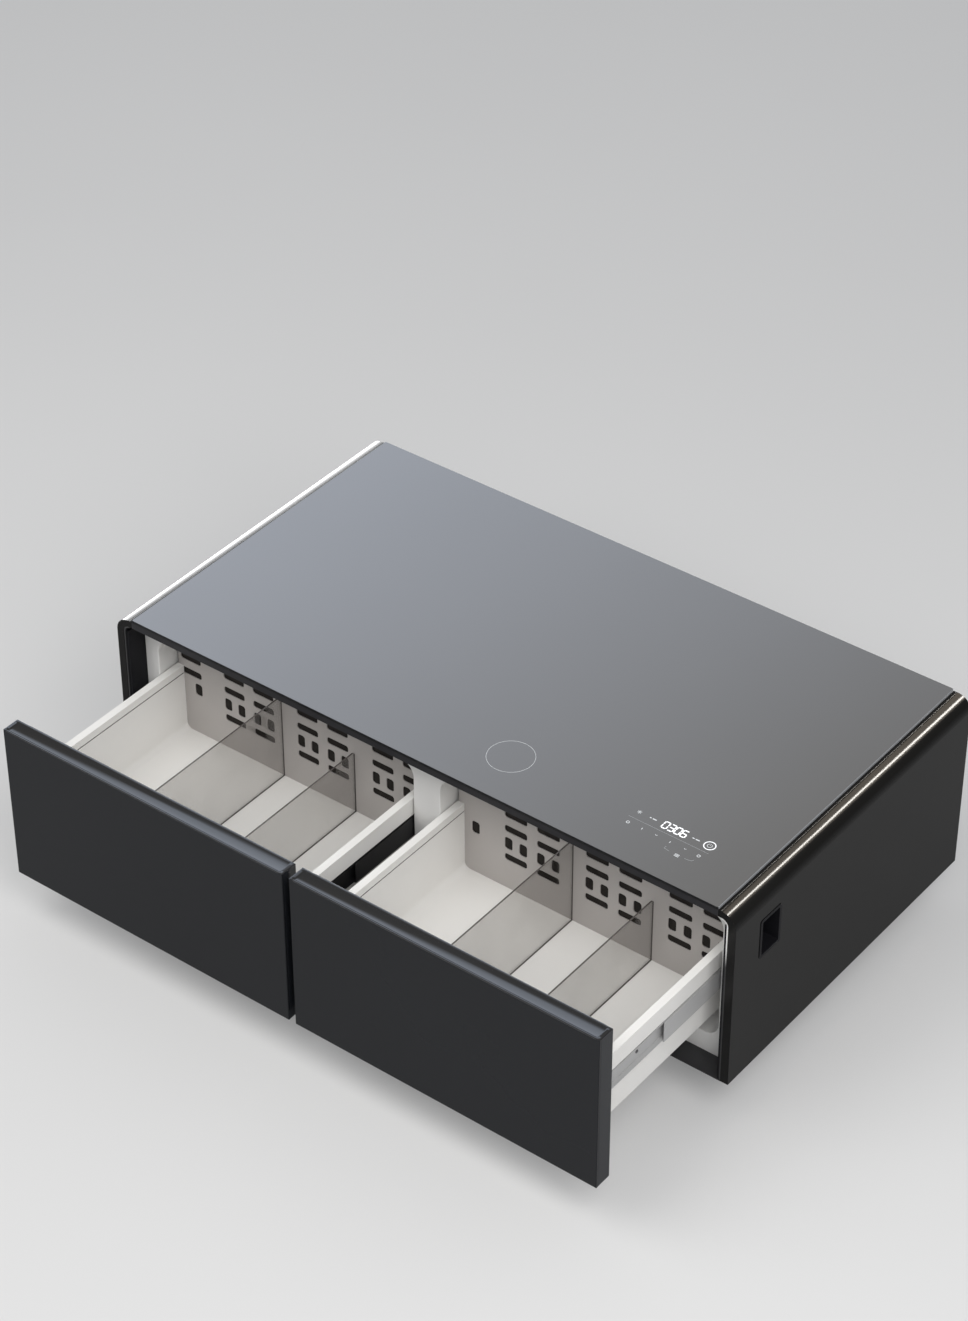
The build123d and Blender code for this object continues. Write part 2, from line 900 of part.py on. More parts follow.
def divider(offset, drop):
    """Clear divider standing across a bin, with rounded upper corners."""
    y_span = (bin_front + bin_wall + divider_end_gap, bin_back - seat_gap)
    z_span = (bin_bottom + bin_wall + seat_gap, table_height - drop)
    face = span_face(y_span, z_span)
    upper_corners = face.vertices().group_by(Axis.Y)[-1]
    front_foot = face.vertices().sort_by_distance((y_span[0], z_span[0], 0))[0]
    face = fillet(upper_corners, divider_corner_radius)
    front_foot = face.vertices().sort_by_distance(front_foot)[0]
    face = fillet(front_foot, bin_floor_radius)
    return along_x(face, (offset - divider_thickness / 2, offset + divider_thickness / 2))


def bin_screws():
    """Pan-head screws through the bin's front wall into the inner panel."""
    screws = Part()
    for share in screw_spread_shares:
        place = (share * 2 * cavity_half, rim_top - screw_drop)
        head = cylinder_y(
            screw_head_diameter / 2,
            (bin_front + bin_wall, bin_front + bin_wall + screw_head_height),
            place,
        )
        screws += fillet(head.edges().group_by(Axis.Y)[-1], screw_head_height / 2)
    return screws


def fan_rotor(diameter, hub_diameter, depth, blades, centre, y_middle):
    """Axial fan wheel: a hub with twisted blades, turning about Y."""
    hub_radius = hub_diameter / 2
    tip_radius = diameter / 2
    wheel = Cylinder(hub_radius, depth)
    root = Rectangle(fan_blade_thickness, depth / math.cos(math.radians(fan_blade_twist)))
    blade = along_x(Rot(0, 0, fan_blade_twist) * root, (hub_radius - fan_blade_thickness, tip_radius))
    for index in range(blades):
        wheel += Rot(0, 0, index * 360 / blades) * blade
    trim = Cylinder(tip_radius, depth)
    wheel = wheel & trim
    return Pos(centre[0], y_middle, centre[1]) * Rot(90, 0, 0) * wheel


def evaporator_fan_centre():
    """Centre of an evaporator fan in X and Z, about the compartment's middle."""
    return evaporator_fan_offset, (opening_top + opening_bottom) / 2


def evaporator_cover():
    """White cover in front of the cooling coil, with a fan mouth and air slots."""
    x_half = opening_half - seat_gap
    z_span = (opening_bottom + seat_gap, opening_top - seat_gap)
    face = span_face((-x_half, x_half), z_span, opening_radius - seat_gap)
    fan_x, fan_z = evaporator_fan_centre()
    face -= Pos(fan_x, fan_z) * Circle(evaporator_fan_diameter / 2)
    slots = Pos(evaporator_offset, fan_z - cover_slot_drop) * GridLocations(
        cover_slot_pitch, cover_slot_row_pitch, cover_slot_columns, cover_slot_rows
    ) * SlotOverall(cover_slot_length, cover_slot_height)
    cover = along_y(face - (Sketch() + slots), (cover_front, cover_back))
    ring = Pos(fan_x, fan_z) * (
        Circle(evaporator_fan_diameter / 2 + fan_ring_wall) - Circle(evaporator_fan_diameter / 2)
    )
    cover += along_y(ring, (cover_front, cover_back + fan_ring_depth))
    spider_y = (cover_back + fan_ring_depth, cover_back + fan_ring_depth + fan_ring_wall)
    spider = Pos(fan_x, fan_z) * (
        Rectangle(evaporator_fan_diameter + 2 * fan_ring_wall, spider_arm_width)
        + Rectangle(spider_arm_width, evaporator_fan_diameter + 2 * fan_ring_wall)
        + Circle(fan_hub_diameter / 2)
    )
    cover += along_y(spider, spider_y)
    axle = cylinder_y(fan_axle_diameter / 2, (cover_front + cover_thickness, spider_y[0]), (fan_x, fan_z))
    return cover + axle


def evaporator_fan():
    """Fan wheel that blows the cooled air into the compartment."""
    centre = evaporator_fan_centre()
    depth = fan_ring_depth - cover_thickness - 2 * running_gap
    y_middle = cover_back + fan_ring_depth - running_gap - depth / 2
    wheel = fan_rotor(
        evaporator_fan_diameter - 2 * fan_tip_gap,
        fan_hub_diameter,
        depth,
        fan_blade_count,
        centre,
        y_middle,
    )
    bore = cylinder_y(fan_axle_diameter / 2 + seat_gap, (cover_front, liner_back), centre)
    return wheel - bore


def evaporator():
    """Finned cooling coil: one bent tube through plates, held to the liner by two end plates."""
    y_middle = cover_back + seat_gap + fin_depth / 2
    middle_z = (opening_top + opening_bottom) / 2
    half_length = fin_pitch * (fin_count - 1) / 2
    tube_end = half_length + fin_pitch
    bend = evaporator_tube_pitch / 2
    lowest = -evaporator_tube_pitch * (evaporator_tube_rows - 1) / 2
    path = Line((-tube_end, lowest), (tube_end, lowest))
    for row in range(evaporator_tube_rows - 1):
        side = 1 if row % 2 == 0 else -1
        z = lowest + row * evaporator_tube_pitch
        bend_start = (side * tube_end, z)
        bend_end = (side * tube_end, z + evaporator_tube_pitch)
        path += ThreePointArc(bend_start, (side * (tube_end + bend), z + bend), bend_end)
        path += Line(bend_end, (-side * tube_end, z + evaporator_tube_pitch))
    place = Plane(origin=(evaporator_offset, y_middle, middle_z), x_dir=(1, 0, 0), z_dir=(0, -1, 0))
    route = place * path
    section = Plane(origin=route @ 0, z_dir=route % 0) * Circle(evaporator_tube / 2)
    coil = sweep(section, path=route)
    fins = slab(
        (-fin_thickness / 2, fin_thickness / 2),
        (y_middle - fin_depth / 2, y_middle + fin_depth / 2),
        (middle_z - fin_height / 2, middle_z + fin_height / 2),
    )
    for index in range(1, fin_count - 1):
        coil += Pos(evaporator_offset - half_length + index * fin_pitch, 0, 0) * fins
    plate = slab(
        (-end_plate_thickness / 2, end_plate_thickness / 2),
        (y_middle - fin_depth / 2, liner_rear_face),
        (middle_z - fin_height / 2, middle_z + fin_height / 2),
    )
    for side in (-1, 1):
        coil += Pos(evaporator_offset + side * half_length, 0, 0) * plate
    return coil


def bay_middle():
    """Middle of the machine bay in Y."""
    return (bay_front + bay_back) / 2


def compressor_base():
    """Underside of the compressor's foot plate."""
    return floor_top + grommet_height


def grommet_places():
    """Centres of the four grommets in X and Y."""
    spread = compressor_foot_size / 2 - grommet_inset
    return GridLocations(2 * spread, 2 * spread, 2, 2)


def compressor():
    """Hermetic compressor: a drawn steel pot with a seam, a foot plate and a terminal cover."""
    radius = compressor_diameter / 2
    base = compressor_base() + compressor_foot_thickness
    top = base + compressor_height
    seam = base + compressor_height / 2
    lip = radius + compressor_seam
    profile = make_face(
        Line((0, base), (radius - compressor_base_radius, base))
        + RadiusArc(
            (radius - compressor_base_radius, base),
            (radius, base + compressor_base_radius),
            -compressor_base_radius,
        )
        + Polyline(
            (radius, base + compressor_base_radius),
            (radius, seam),
            (lip, seam),
            (lip, seam + compressor_seam),
            (radius, seam + compressor_seam),
            (radius, top - compressor_dome),
        )
        + RadiusArc((radius, top - compressor_dome), (radius - compressor_dome, top), -compressor_dome)
        + Polyline((radius - compressor_dome, top), (0, top), (0, base))
    )
    pot = revolve(Plane.XZ * profile, Axis.Z)
    pot += along_z(
        rounded(compressor_foot_size, compressor_foot_size, grommet_inset),
        (compressor_base(), base),
    )
    length, width, height = terminal_size
    terminal = along_z(
        Pos(radius, 0) * RectangleRounded(length, width, terminal_radius),
        (seam - height - compressor_seam, seam - compressor_seam),
    )
    pot += terminal
    holes = grommet_places() * Circle(grommet_pin_radius + seat_gap)
    pot -= along_z(Sketch() + holes, (compressor_base() - cut_overrun, base + cut_overrun))
    return Pos(compressor_x, bay_middle(), 0) * pot


def compressor_grommets():
    """Rubber grommets under the compressor's foot plate, each with its pin."""
    outer = grommet_diameter / 2
    pin_top = grommet_height + 2 * compressor_foot_thickness
    profile = outline(
        (0, 0),
        (outer, 0),
        (outer, grommet_lip_share * grommet_height),
        (grommet_waist, grommet_height / 2),
        (outer, (1 - grommet_lip_share) * grommet_height),
        (outer, grommet_height),
        (grommet_pin_radius, grommet_height),
        (grommet_pin_radius, pin_top),
        (0, pin_top),
    )
    grommet = revolve(Plane.XZ * profile, Axis.Z)
    group = Part() + grommet_places() * grommet
    return Pos(compressor_x, bay_middle(), floor_top) * group


def condenser_base():
    """Underside of the condenser's fins."""
    return floor_top + condenser_foot


def condenser_inlet():
    """Left end of the condenser's top tube."""
    pitch = condenser_width / (condenser_fin_count - 1)
    x = condenser_offset - condenser_width / 2 - pitch
    y = bay_front + bay_clearance + condenser_depth / 2
    z = condenser_base() + condenser_height * (condenser_tube_rows - 1 / 2) / condenser_tube_rows
    return x, y, z


def condenser():
    """Condenser block: plate fins on straight tube runs, standing on two feet."""
    x_start, y_middle, z_top = condenser_inlet()
    pitch = condenser_width / (condenser_fin_count - 1)
    y_span = (y_middle - condenser_depth / 2, y_middle + condenser_depth / 2)
    z_span = (condenser_base(), condenser_base() + condenser_height)
    tube_span = (x_start, x_start + condenser_width + 2 * pitch)
    block = Part()
    for row in range(condenser_tube_rows):
        z = z_top - row * condenser_height / condenser_tube_rows
        block += along_x(Pos(y_middle, z) * Circle(condenser_tube / 2), tube_span)
    for index in range(condenser_fin_count):
        x = x_start + (index + 1) * pitch
        x_span = (x - condenser_fin_thickness / 2, x + condenser_fin_thickness / 2)
        block += slab(x_span, y_span, z_span)
    for x in (x_start + pitch, x_start + pitch + condenser_width):
        block += slab((x - condenser_foot / 2, x + condenser_foot / 2), y_span, (floor_top, z_span[0]))
    return block


def cooling_fan_front():
    """Front face of the cooling fan's frame."""
    return bay_front + bay_clearance + condenser_depth + seat_gap


def cooling_fan_middle():
    """Centre of the cooling fan in X and Z."""
    half = cooling_fan_diameter / 2 + cooling_fan_ring
    return condenser_offset, floor_top + half


def cooling_fan_frame():
    """Square frame of the cooling fan, with a round mouth, spider and axle."""
    half = cooling_fan_diameter / 2 + cooling_fan_ring
    centre = cooling_fan_middle()
    y_start = cooling_fan_front()
    face = Pos(*centre) * RectangleRounded(2 * half, 2 * half, cooling_fan_corner)
    face -= Pos(*centre) * Circle(cooling_fan_diameter / 2)
    frame = along_y(face, (y_start, y_start + cooling_fan_depth))
    spider = Pos(*centre) * (
        Rectangle(2 * half, spider_arm_width)
        + Rectangle(spider_arm_width, 2 * half)
        + Circle(cooling_fan_hub / 2)
    )
    frame += along_y(spider, (y_start, y_start + fan_ring_wall))
    frame += cylinder_y(fan_axle_diameter / 2, (y_start, y_start + cooling_fan_depth), centre)
    return frame


def cooling_fan_wheel():
    """Cooling fan wheel that draws air through the condenser."""
    centre = cooling_fan_middle()
    depth = cooling_fan_depth - fan_ring_wall - 2 * running_gap
    y_middle = cooling_fan_front() + fan_ring_wall + running_gap + depth / 2
    wheel = fan_rotor(
        cooling_fan_diameter - 2 * fan_tip_gap,
        cooling_fan_hub,
        depth,
        cooling_fan_blades,
        centre,
        y_middle,
    )
    bore_span = (y_middle - depth, y_middle + depth)
    bore = cylinder_y(fan_axle_diameter / 2 + seat_gap, bore_span, centre)
    return wheel - bore


def refrigerant_pipe():
    """Copper discharge pipe from the compressor's top to the condenser."""
    start_z = compressor_base() + compressor_foot_thickness + compressor_height
    end_x, end_y, end_z = condenser_inlet()
    path = FilletPolyline(
        (compressor_x, bay_middle(), start_z),
        (compressor_x, bay_middle(), start_z + pipe_rise),
        (end_x - pipe_lead, bay_middle(), start_z + pipe_rise),
        (end_x - pipe_lead, end_y, end_z),
        (end_x, end_y, end_z),
        radius=pipe_bend_radius,
    )
    section = Plane(origin=path @ 0, z_dir=path % 0) * Circle(pipe_diameter / 2)
    return sweep(section, path=path)


def drain_pan():
    """Tray that catches melt water, standing on the floor of the bay."""
    width = bay_back - bay_front - 2 * bay_clearance
    centre = (half_width - pan_side_inset, bay_middle())
    tray = along_z(rounded(pan_length, width, pan_corner_radius, centre), (floor_top, floor_top + pan_height))
    hollow = along_z(
        rounded(pan_length - 2 * pan_wall, width - 2 * pan_wall, pan_corner_radius - pan_wall, centre),
        (floor_top + pan_wall, floor_top + pan_height + cut_overrun),
    )
    return tray - hollow


def hung_box(size, offset):
    """A lidded electronics box fixed to the bay's front wall."""
    length, height, depth = size
    centre = (offset, opening_top - hung_box_drop - height / 2)
    y_span = (bay_front, bay_front + depth)
    box = along_y(Pos(*centre) * RectangleRounded(length, height, control_box_radius), y_span)
    groove_face = Pos(*centre) * (
        Rectangle(length + cut_overrun, height + cut_overrun)
        - RectangleRounded(length - 2 * lid_groove, height - 2 * lid_groove, control_box_radius)
    )
    lid_start = y_span[1] - lid_thickness
    return box - along_y(groove_face, (lid_start - lid_groove, lid_start))


def light_strip():
    """Light strip under the header, above a drawer opening."""
    z_top = opening_top
    y_start = liner_face + light_setback
    face = outline(
        (y_start, z_top),
        (y_start + light_width, z_top),
        (y_start + light_width, z_top - light_height / 2),
        (y_start + light_width / 2, z_top - light_height),
        (y_start, z_top - light_height),
    )
    return along_x(face, (-light_length / 2, light_length / 2))


def frame_walls(inset):
    """The frame's ring and middle tube, drawn in by an inset on every side."""
    x_half = half_width - base_side_inset - inset
    y_span = (front_plane + base_front_inset + inset, back_plane - base_rear_inset - inset)
    z_span = (body_bottom - base_tube_height + inset, body_bottom - inset)
    bar = base_tube_width - 2 * inset
    ring = span_face((-x_half, x_half), y_span)
    ring -= span_face((-x_half + bar, x_half - bar), (y_span[0] + bar, y_span[1] - bar))
    ring += span_face((-bar / 2, bar / 2), y_span)
    return along_z(ring, z_span)


def base_frame():
    """Welded frame of hollow rectangular tube, set back under the cabinet."""
    walls = frame_walls(0)
    walls = fillet(walls.edges().filter_by(Axis.Z), base_corner_radius)
    frame = walls - frame_walls(base_tube_wall)
    bottom = body_bottom - base_tube_height
    for x, y in foot_places():
        hole = Pos(x, y) * Circle(foot_stem_diameter / 2 + seat_gap)
        frame -= along_z(hole, (bottom - cut_overrun, bottom + base_tube_wall + cut_overrun))
    return frame


def foot_places():
    """Centres of the levelling feet under the frame's corners and its middle."""
    x = half_width - base_side_inset - foot_inset
    y_low = front_plane + base_front_inset + foot_inset
    y_high = back_plane - base_rear_inset - foot_inset
    return [(-x, y_low), (x, y_low), (0, 0), (-x, y_high), (x, y_high)]


def levelling_feet():
    """Levelling feet: a round pad with a stem into the frame."""
    frame_bottom = body_bottom - base_tube_height
    pad = foot_diameter / 2
    collar = foot_collar_diameter / 2
    stem = foot_stem_diameter / 2
    profile = outline(
        (0, 0),
        (pad - foot_edge, 0),
        (pad, foot_edge),
        (pad, foot_pad_height),
        (collar, foot_height),
        (collar, frame_bottom),
        (stem, frame_bottom),
        (stem, frame_bottom + foot_stem_length),
        (0, frame_bottom + foot_stem_length),
    )
    foot = revolve(Plane.XZ * profile, Axis.Z)
    return Part() + [Pos(x, y, 0) * foot for x, y in foot_places()]


def write(name, shape):
    """Writes one sub-part."""
    export_step(shape, f"parts/{name}.step")


os.makedirs("parts", exist_ok=True)

write("glass_top", glass_top())
write("left_side_panel", mirror(side_panel(), about=Plane.YZ))
write("right_side_panel", right_side_panel())
write("socket_box", socket_box())
write("socket_outlet", socket_outlet())
write("top_deck", top_deck())
write("charging_pad", charging_pad())
write("display_module", display_module())
write("front_trim", front_trim())
write("recess_cheeks", recess_cheeks())
write("floor_plate", floor_plate())
write("back_panel", back_panel())
write("power_inlet", power_inlet())
write("insulation", insulation())
write("bay_wall", bay_wall())
write("compressor", compressor())
write("compressor_grommets", compressor_grommets())
write("condenser", condenser())
write("cooling_fan_frame", cooling_fan_frame())
write("cooling_fan_wheel", cooling_fan_wheel())
write("refrigerant_pipe", refrigerant_pipe())
write("drain_pan", drain_pan())
write("control_box", hung_box(control_box_size, half_width - control_box_side_inset))
write("power_supply", hung_box(supply_size, half_width - supply_side_inset))
write("base_frame", base_frame())
write("levelling_feet", levelling_feet())
write("right_liner", liner())
write("left_liner", mirror(liner(), about=Plane.YZ))

for side_name, side, pattern_start in (("left", -1, left_pattern_start), ("right", 1, right_pattern_start)):
    fixed_place = Pos(side * compartment_centre, 0, 0)
    open_place = Pos(side * compartment_centre, -drawer_pull, 0)
    write(f"{side_name}_cabinet_rails", fixed_place * cabinet_rails())
    write(f"{side_name}_middle_rails", fixed_place * middle_rails())
    write(f"{side_name}_drawer_rails", fixed_place * drawer_rails())
    write(f"{side_name}_light_strip", fixed_place * light_strip())
    write(f"{side_name}_evaporator", fixed_place * evaporator())
    write(f"{side_name}_evaporator_cover", fixed_place * evaporator_cover())
    write(f"{side_name}_evaporator_fan", fixed_place * evaporator_fan())
    write(f"{side_name}_drawer_fascia", open_place * drawer_fascia())
    write(f"{side_name}_drawer_front", open_place * drawer_front())
    write(f"{side_name}_drawer_inner_panel", open_place * drawer_inner_panel())
    write(f"{side_name}_drawer_gasket", open_place * drawer_gasket())
    write(f"{side_name}_drawer_bin", open_place * drawer_bin())
    write(f"{side_name}_slotted_panel", open_place * slotted_panel(pattern_start))
    write(f"{side_name}_tall_divider", open_place * divider(tall_divider_offset, tall_divider_drop))
    write(f"{side_name}_low_divider", open_place * divider(low_divider_offset, low_divider_drop))
    write(f"{side_name}_bin_screws", open_place * bin_screws())
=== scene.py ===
"""Looks of the refrigerator coffee table: materials, marks on the glass, small fittings, light and camera."""

import json
import math

import bmesh
import bpy
from mathutils import Matrix, Vector

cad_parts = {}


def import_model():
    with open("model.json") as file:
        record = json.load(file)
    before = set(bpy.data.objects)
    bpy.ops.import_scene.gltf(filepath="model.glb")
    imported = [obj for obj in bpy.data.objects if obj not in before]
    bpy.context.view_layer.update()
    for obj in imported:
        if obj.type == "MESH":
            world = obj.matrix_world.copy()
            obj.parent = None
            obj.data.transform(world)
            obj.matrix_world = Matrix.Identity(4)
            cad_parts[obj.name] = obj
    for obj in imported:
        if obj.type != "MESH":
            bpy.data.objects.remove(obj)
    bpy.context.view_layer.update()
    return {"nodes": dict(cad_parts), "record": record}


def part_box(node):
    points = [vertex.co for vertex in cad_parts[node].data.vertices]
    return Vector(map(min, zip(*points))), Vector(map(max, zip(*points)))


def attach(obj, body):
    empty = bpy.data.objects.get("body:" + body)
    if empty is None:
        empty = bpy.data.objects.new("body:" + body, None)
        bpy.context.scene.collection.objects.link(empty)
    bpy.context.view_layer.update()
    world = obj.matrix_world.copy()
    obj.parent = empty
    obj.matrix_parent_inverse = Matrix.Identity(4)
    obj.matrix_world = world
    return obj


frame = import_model()
nodes = frame["nodes"]
scene = bpy.context.scene

MM = 0.001

# Camera, worked out from the edges of the cabinet in the photograph
CAMERA_PLACE = Vector((2.8056, -3.7819, 4.0352))
CAMERA_AZIMUTH = math.radians(37.675)
CAMERA_ELEVATION = math.radians(37.392)
CAMERA_ROLL = math.radians(-0.137)
CAMERA_LENS = 94.576
CAMERA_REACH = 60

# Marks that shine through the glass; places are measured from its front edge and the middle of the cabinet
MARK_HEIGHT = 0.1 * MM
MARK_SINK = 0.05 * MM
CHARGER_PLACE = (132.3 * MM, 101.9 * MM)
CHARGER_RADIUS = 41 * MM
CHARGER_LINE = 0.55 * MM
DIGITS = "0306"
DIGIT_START = 430.5 * MM
DIGIT_BASE = 105.5 * MM
DIGIT_WIDTH = 9.2 * MM
DIGIT_HEIGHT = 16.5 * MM
DIGIT_PITCH = 12 * MM
DIGIT_STROKE = 2.3 * MM
DIGIT_GAP = 0.25 * MM
RING_PLACE = (519.8 * MM, 114.5 * MM)
RING_RADIUS = 9.8 * MM
RING_STROKE = 1.5 * MM
SIGN_RADIUS = RING_RADIUS * 0.42
SIGN_STROKE = RING_STROKE * 0.6
SIGN_STEM = (RING_RADIUS * 0.1, RING_RADIUS * 0.55)
SIGN_START = math.radians(125)
SIGN_TURN = math.radians(290)
DISPLAY_LINE = ((373.5 * MM, 97.2 * MM), (529.3 * MM, 97.0 * MM))
DISPLAY_LINE_WIDTH = 0.5 * MM
DASH_Y = 114.2 * MM
DASHES = (
    (402.9 * MM, 407.0 * MM),
    (408.5 * MM, 416.9 * MM),
    (486.1 * MM, 491.0 * MM),
    (492.3 * MM, 501.0 * MM),
)
DASH_WIDTH = 2.2 * MM
BRACKET = ((465.0, 72.0), (465.0, 66.0), (476.0, 64.5)), ((505.0, 64.5), (517.0, 66.0), (519.8, 70.5))
BRACKET_WIDTH = 0.6 * MM

# Keys under the digits: rings at the ends of the row, arrows and bars between them
KEYS_Y = 83.3 * MM
KEYS_X = tuple(x * MM for x in (382.0, 409.6, 436.9, 464.3, 493.0, 519.9))
RING_KEYS = (0, 5)
ARROW_KEYS = (2, 4)
KEY_RING_RADIUS = 2.6 * MM
KEY_RING_STROKE = 1.1 * MM
ARROW_REACH = (2.2 * MM, 1.8 * MM)
ARROW_STROKE = 0.8 * MM
BAR_REACH = 2.4 * MM
BAR_STROKE = 1.2 * MM
STAR_PLACE = (382.6 * MM, 115.0 * MM)
STAR_REACH = 4.2 * MM
STAR_STROKE = 0.9 * MM
STACK_PLACE = (491.3 * MM, 63.4 * MM)
STACK_REACH = 4.5 * MM
STACK_PITCH = 2.4 * MM
STACK_STROKE = 1.1 * MM

# Variation of every finish: limits of the noise for its tone and its gloss, lowest roughness, how much finer
# the smears are than the clouds, and depth of the grain
TONE_LIMITS = (0.3, 0.7)
GLOSS_LIMITS = (0.25, 0.75)
LOWEST_ROUGHNESS = 0.02
SMEAR_SCALE = 4
GRAIN_DEPTH = 0.2 * MM

# Smoothing: angles over which an edge stays sharp or is rounded
SMOOTH_ANGLE = math.radians(35)
SOFTEN_ANGLE = math.radians(50)
SOFTEN_SEGMENTS = 2
WELD_REACH = 0.01 * MM

# What the glass mirrors: the direction in which the surroundings brighten, its limits, and their colours
SKY_SLOPE = (-0.59, 0.0, -0.807)
SKY_LIMITS = (-0.30, -0.13)
SKY_DARK = (0.20, 0.19, 0.17, 1)
SKY_BRIGHT = (0.80, 0.87, 0.99, 1)
SKY_STRENGTH = 1.05

# Even light of the surroundings, and the floor
EVEN_COLOUR = (0.95, 0.97, 1.0, 1)
EVEN_STRENGTH = 0.48
FLOOR_COLOUR = (0.56, 0.56, 0.56)
FLOOR_GLOW = 0.17
FLOOR_REACH = 14

# Screw heads: reach and rise of their outline as shares, and the shape of the cross recess
SCREW_STEPS = 28
SCREW_OUTLINE = ((1.0, 0.0), (1.0, 0.35), (0.86, 0.75), (0.6, 0.95), (0.42, 1.0))
RECESS_CORE = 0.14
RECESS_ARM = 0.22
RECESS_LIP = 0.98
RECESS_TAPER = 0.7
RECESS_FLOOR = 0.4
BACK_SCREW_INSET = 12 * MM
BACK_SCREW_COLUMNS = 6
BACK_SCREW_RADIUS = 3.6 * MM
BACK_SCREW_HEIGHT = 1.3 * MM

# Fasteners in the channels of the rails: member, body, places as shares of its length, radius, height, depth
# of the face that they stand on, and whether they point to the middle of the drawer (1) or away from it (-1)
RAIL_SHEET = 1.4 * MM
RAIL_FASTENERS = (
    ("drawer", "drawer", (0.06, 0.28, 0.5, 0.72, 0.94), 3.4 * MM, 1.4 * MM, 8.6 * MM - RAIL_SHEET, -1),
    ("middle", "middle_slide", (0.10, 0.37, 0.63, 0.90), 2.4 * MM, 0.8 * MM, RAIL_SHEET, 1),
)

# Dark strip in the groove under each bin's rim: painted shade of the groove
GROOVE_DROP = 15 * MM
GROOVE_HEIGHT = 2 * MM
GROOVE_DEPTH = 1.3 * MM
CAVITY_INSET = 14 * MM
SHADE_STRIP_LIP = 0.1 * MM
SHADE_STRIP_GAP = 0.2 * MM
SHADE_STRIP_FRONT_GAP = 6 * MM
SHADE_STRIP_BACK_GAP = 2 * MM

# Bead beside the glass
BEAD_RADIUS = 1.1 * MM
BEAD_RISE = BEAD_RADIUS * 0.6
BEAD_OFFSET = 5.6 * MM
BEAD_SINK = 0.1 * MM
BEAD_END_GAP = 1.0 * MM
BEAD_STEPS = 12

# Soft rings round the soles of the feet
FOOT_RADIUS = 22 * MM
PAD_INSET = 0.2 * MM
PAD_WIDTH = 1.6 * MM
PAD_HEIGHT = 2.2 * MM

# Pleated dark sheet behind each slotted panel: painted shade that makes the slots look black
SHADE_SHEET_INSET = 3 * MM
SHADE_SHEET_SIDE_INSET = 6 * MM
SHADE_SHEET_PITCH = 4 * MM
SHADE_SHEET_FOLD = 0.2 * MM
SHADE_SHEET_THICKNESS = 0.12 * MM
SHADE_SHEET_GAP = 0.03 * MM

# Contacts in the socket: sleeves in the round well and tongues in the charging ports
WELL_CENTRE_DROP = 19.5 * MM
WELL_DEPTH = 3 * MM
PIN_SPREAD = 6.4 * MM
PIN_SIZE = (2.2 * MM, 7.2 * MM)
SLEEVE_WALL = 0.6 * MM
SLEEVE_HEIGHT = 0.5 * MM
PORT_PITCH = 18 * MM
TONGUE_SIZE = (10 * MM, 1.6 * MM)
TONGUE_LENGTH = 2.4 * MM

# Pins of the power inlet, from the middle of its flange
INLET_DEPTH = 26.5 * MM
INLET_PIN_PITCH = 9 * MM
INLET_PIN = (2.3 * MM, 12.2 * MM, 4.3 * MM)
INLET_PIN_RISE = 2 * MM
INLET_PIN_TAPER = 0.8 * MM
INLET_PIN_CHAMFER = 0.35 * MM

# Lining of the finger pull: depths behind the face, and its rise over the front's top
PULL_START = 0.2 * MM
PULL_FRONT = 2.2 * MM
PULL_BOTTOM = 21 * MM
PULL_REAR = 31.2 * MM
PULL_BACK = 34.7 * MM
PULL_STEPS = 60
PULL_RISE = 0.5 * MM
PULL_SLOPE = math.tan(math.radians(19))
PULL_SHEET = 0.7 * MM

# Ends of that lining: distance from the front's end in millimetres, share of the rise, share of the hollow
PULL_ENDS = (
    (0.3, 0.0, 0.0),
    (0.9, 0.85, 0.0),
    (2.0, 1.0, 0.0),
    (6.4, 1.0, 0.0),
    (6.9, 1.0, 0.22),
    (7.5, 1.0, 0.6),
    (8.2, 1.0, 0.88),
    (9.2, 1.0, 1.0),
)

# Distances from the middle between which the slides change from black, painted shade of the dark gap between
# the drawers, to bare steel
SHADED_SLIDE_LIMITS = (0.1, 0.11)

# Heights between which the front lining fades from dark to a pale painted highlight
TRIM_HIGHLIGHT_FADE = (0.335, 0.375)

# Nodes whose finish differs from the rest of their slot; the recess cheeks and the socket get painted shade
OWN_FINISH_AND_SHADE = {
    "top_deck": "header_black",
    "recess_cheeks": "shaded_black",
    "socket_box": "shaded_black",
    "socket_outlet": "shaded_black",
}

# Nodes whose shown edges are rounded, and how far
SOFTENED = {
    "left_drawer_front": 0.8 * MM,
    "right_drawer_front": 0.8 * MM,
    "left_drawer_bin": 0.6 * MM,
    "right_drawer_bin": 0.6 * MM,
    "socket_box": 0.25 * MM,
}

# Seven bars of a digit: start and end as shares of its width and height
BARS = {
    "top": ((0, 1), (1, 1)),
    "upper_left": ((0, 0.5), (0, 1)),
    "upper_right": ((1, 0.5), (1, 1)),
    "middle": ((0, 0.5), (1, 0.5)),
    "lower_left": ((0, 0), (0, 0.5)),
    "lower_right": ((1, 0), (1, 0.5)),
    "bottom": ((0, 0), (1, 0)),
}
DIGIT_BARS = {
    "0": ("top", "upper_left", "upper_right", "lower_left", "lower_right", "bottom"),
    "3": ("top", "upper_right", "middle", "lower_right", "bottom"),
    "6": ("top", "upper_left", "middle", "lower_left", "lower_right", "bottom"),
}


def new_nodes(name):
    """An empty node material."""
    made = bpy.data.materials.new(name)
    made.use_nodes = True
    made.node_tree.nodes.clear()
    return made


def link(tree, source, socket, target, name):
    """Joins an output to an input."""
    tree.links.new(source.outputs[socket], target.inputs[name])


def add(tree, kind, **values):
    """A shader node with its inputs set by name."""
    node = tree.nodes.new(kind)
    for name, value in values.items():
        node.inputs[name.replace("_", " ")].default_value = value
    return node


def find(tree, kind):
    """The first node of a kind in a material."""
    return next(node for node in tree.nodes if node.type == kind)


def calculation(tree, operation):
    """A node that calculates with its inputs."""
    node = tree.nodes.new("ShaderNodeMath")
    node.operation = operation
    return node


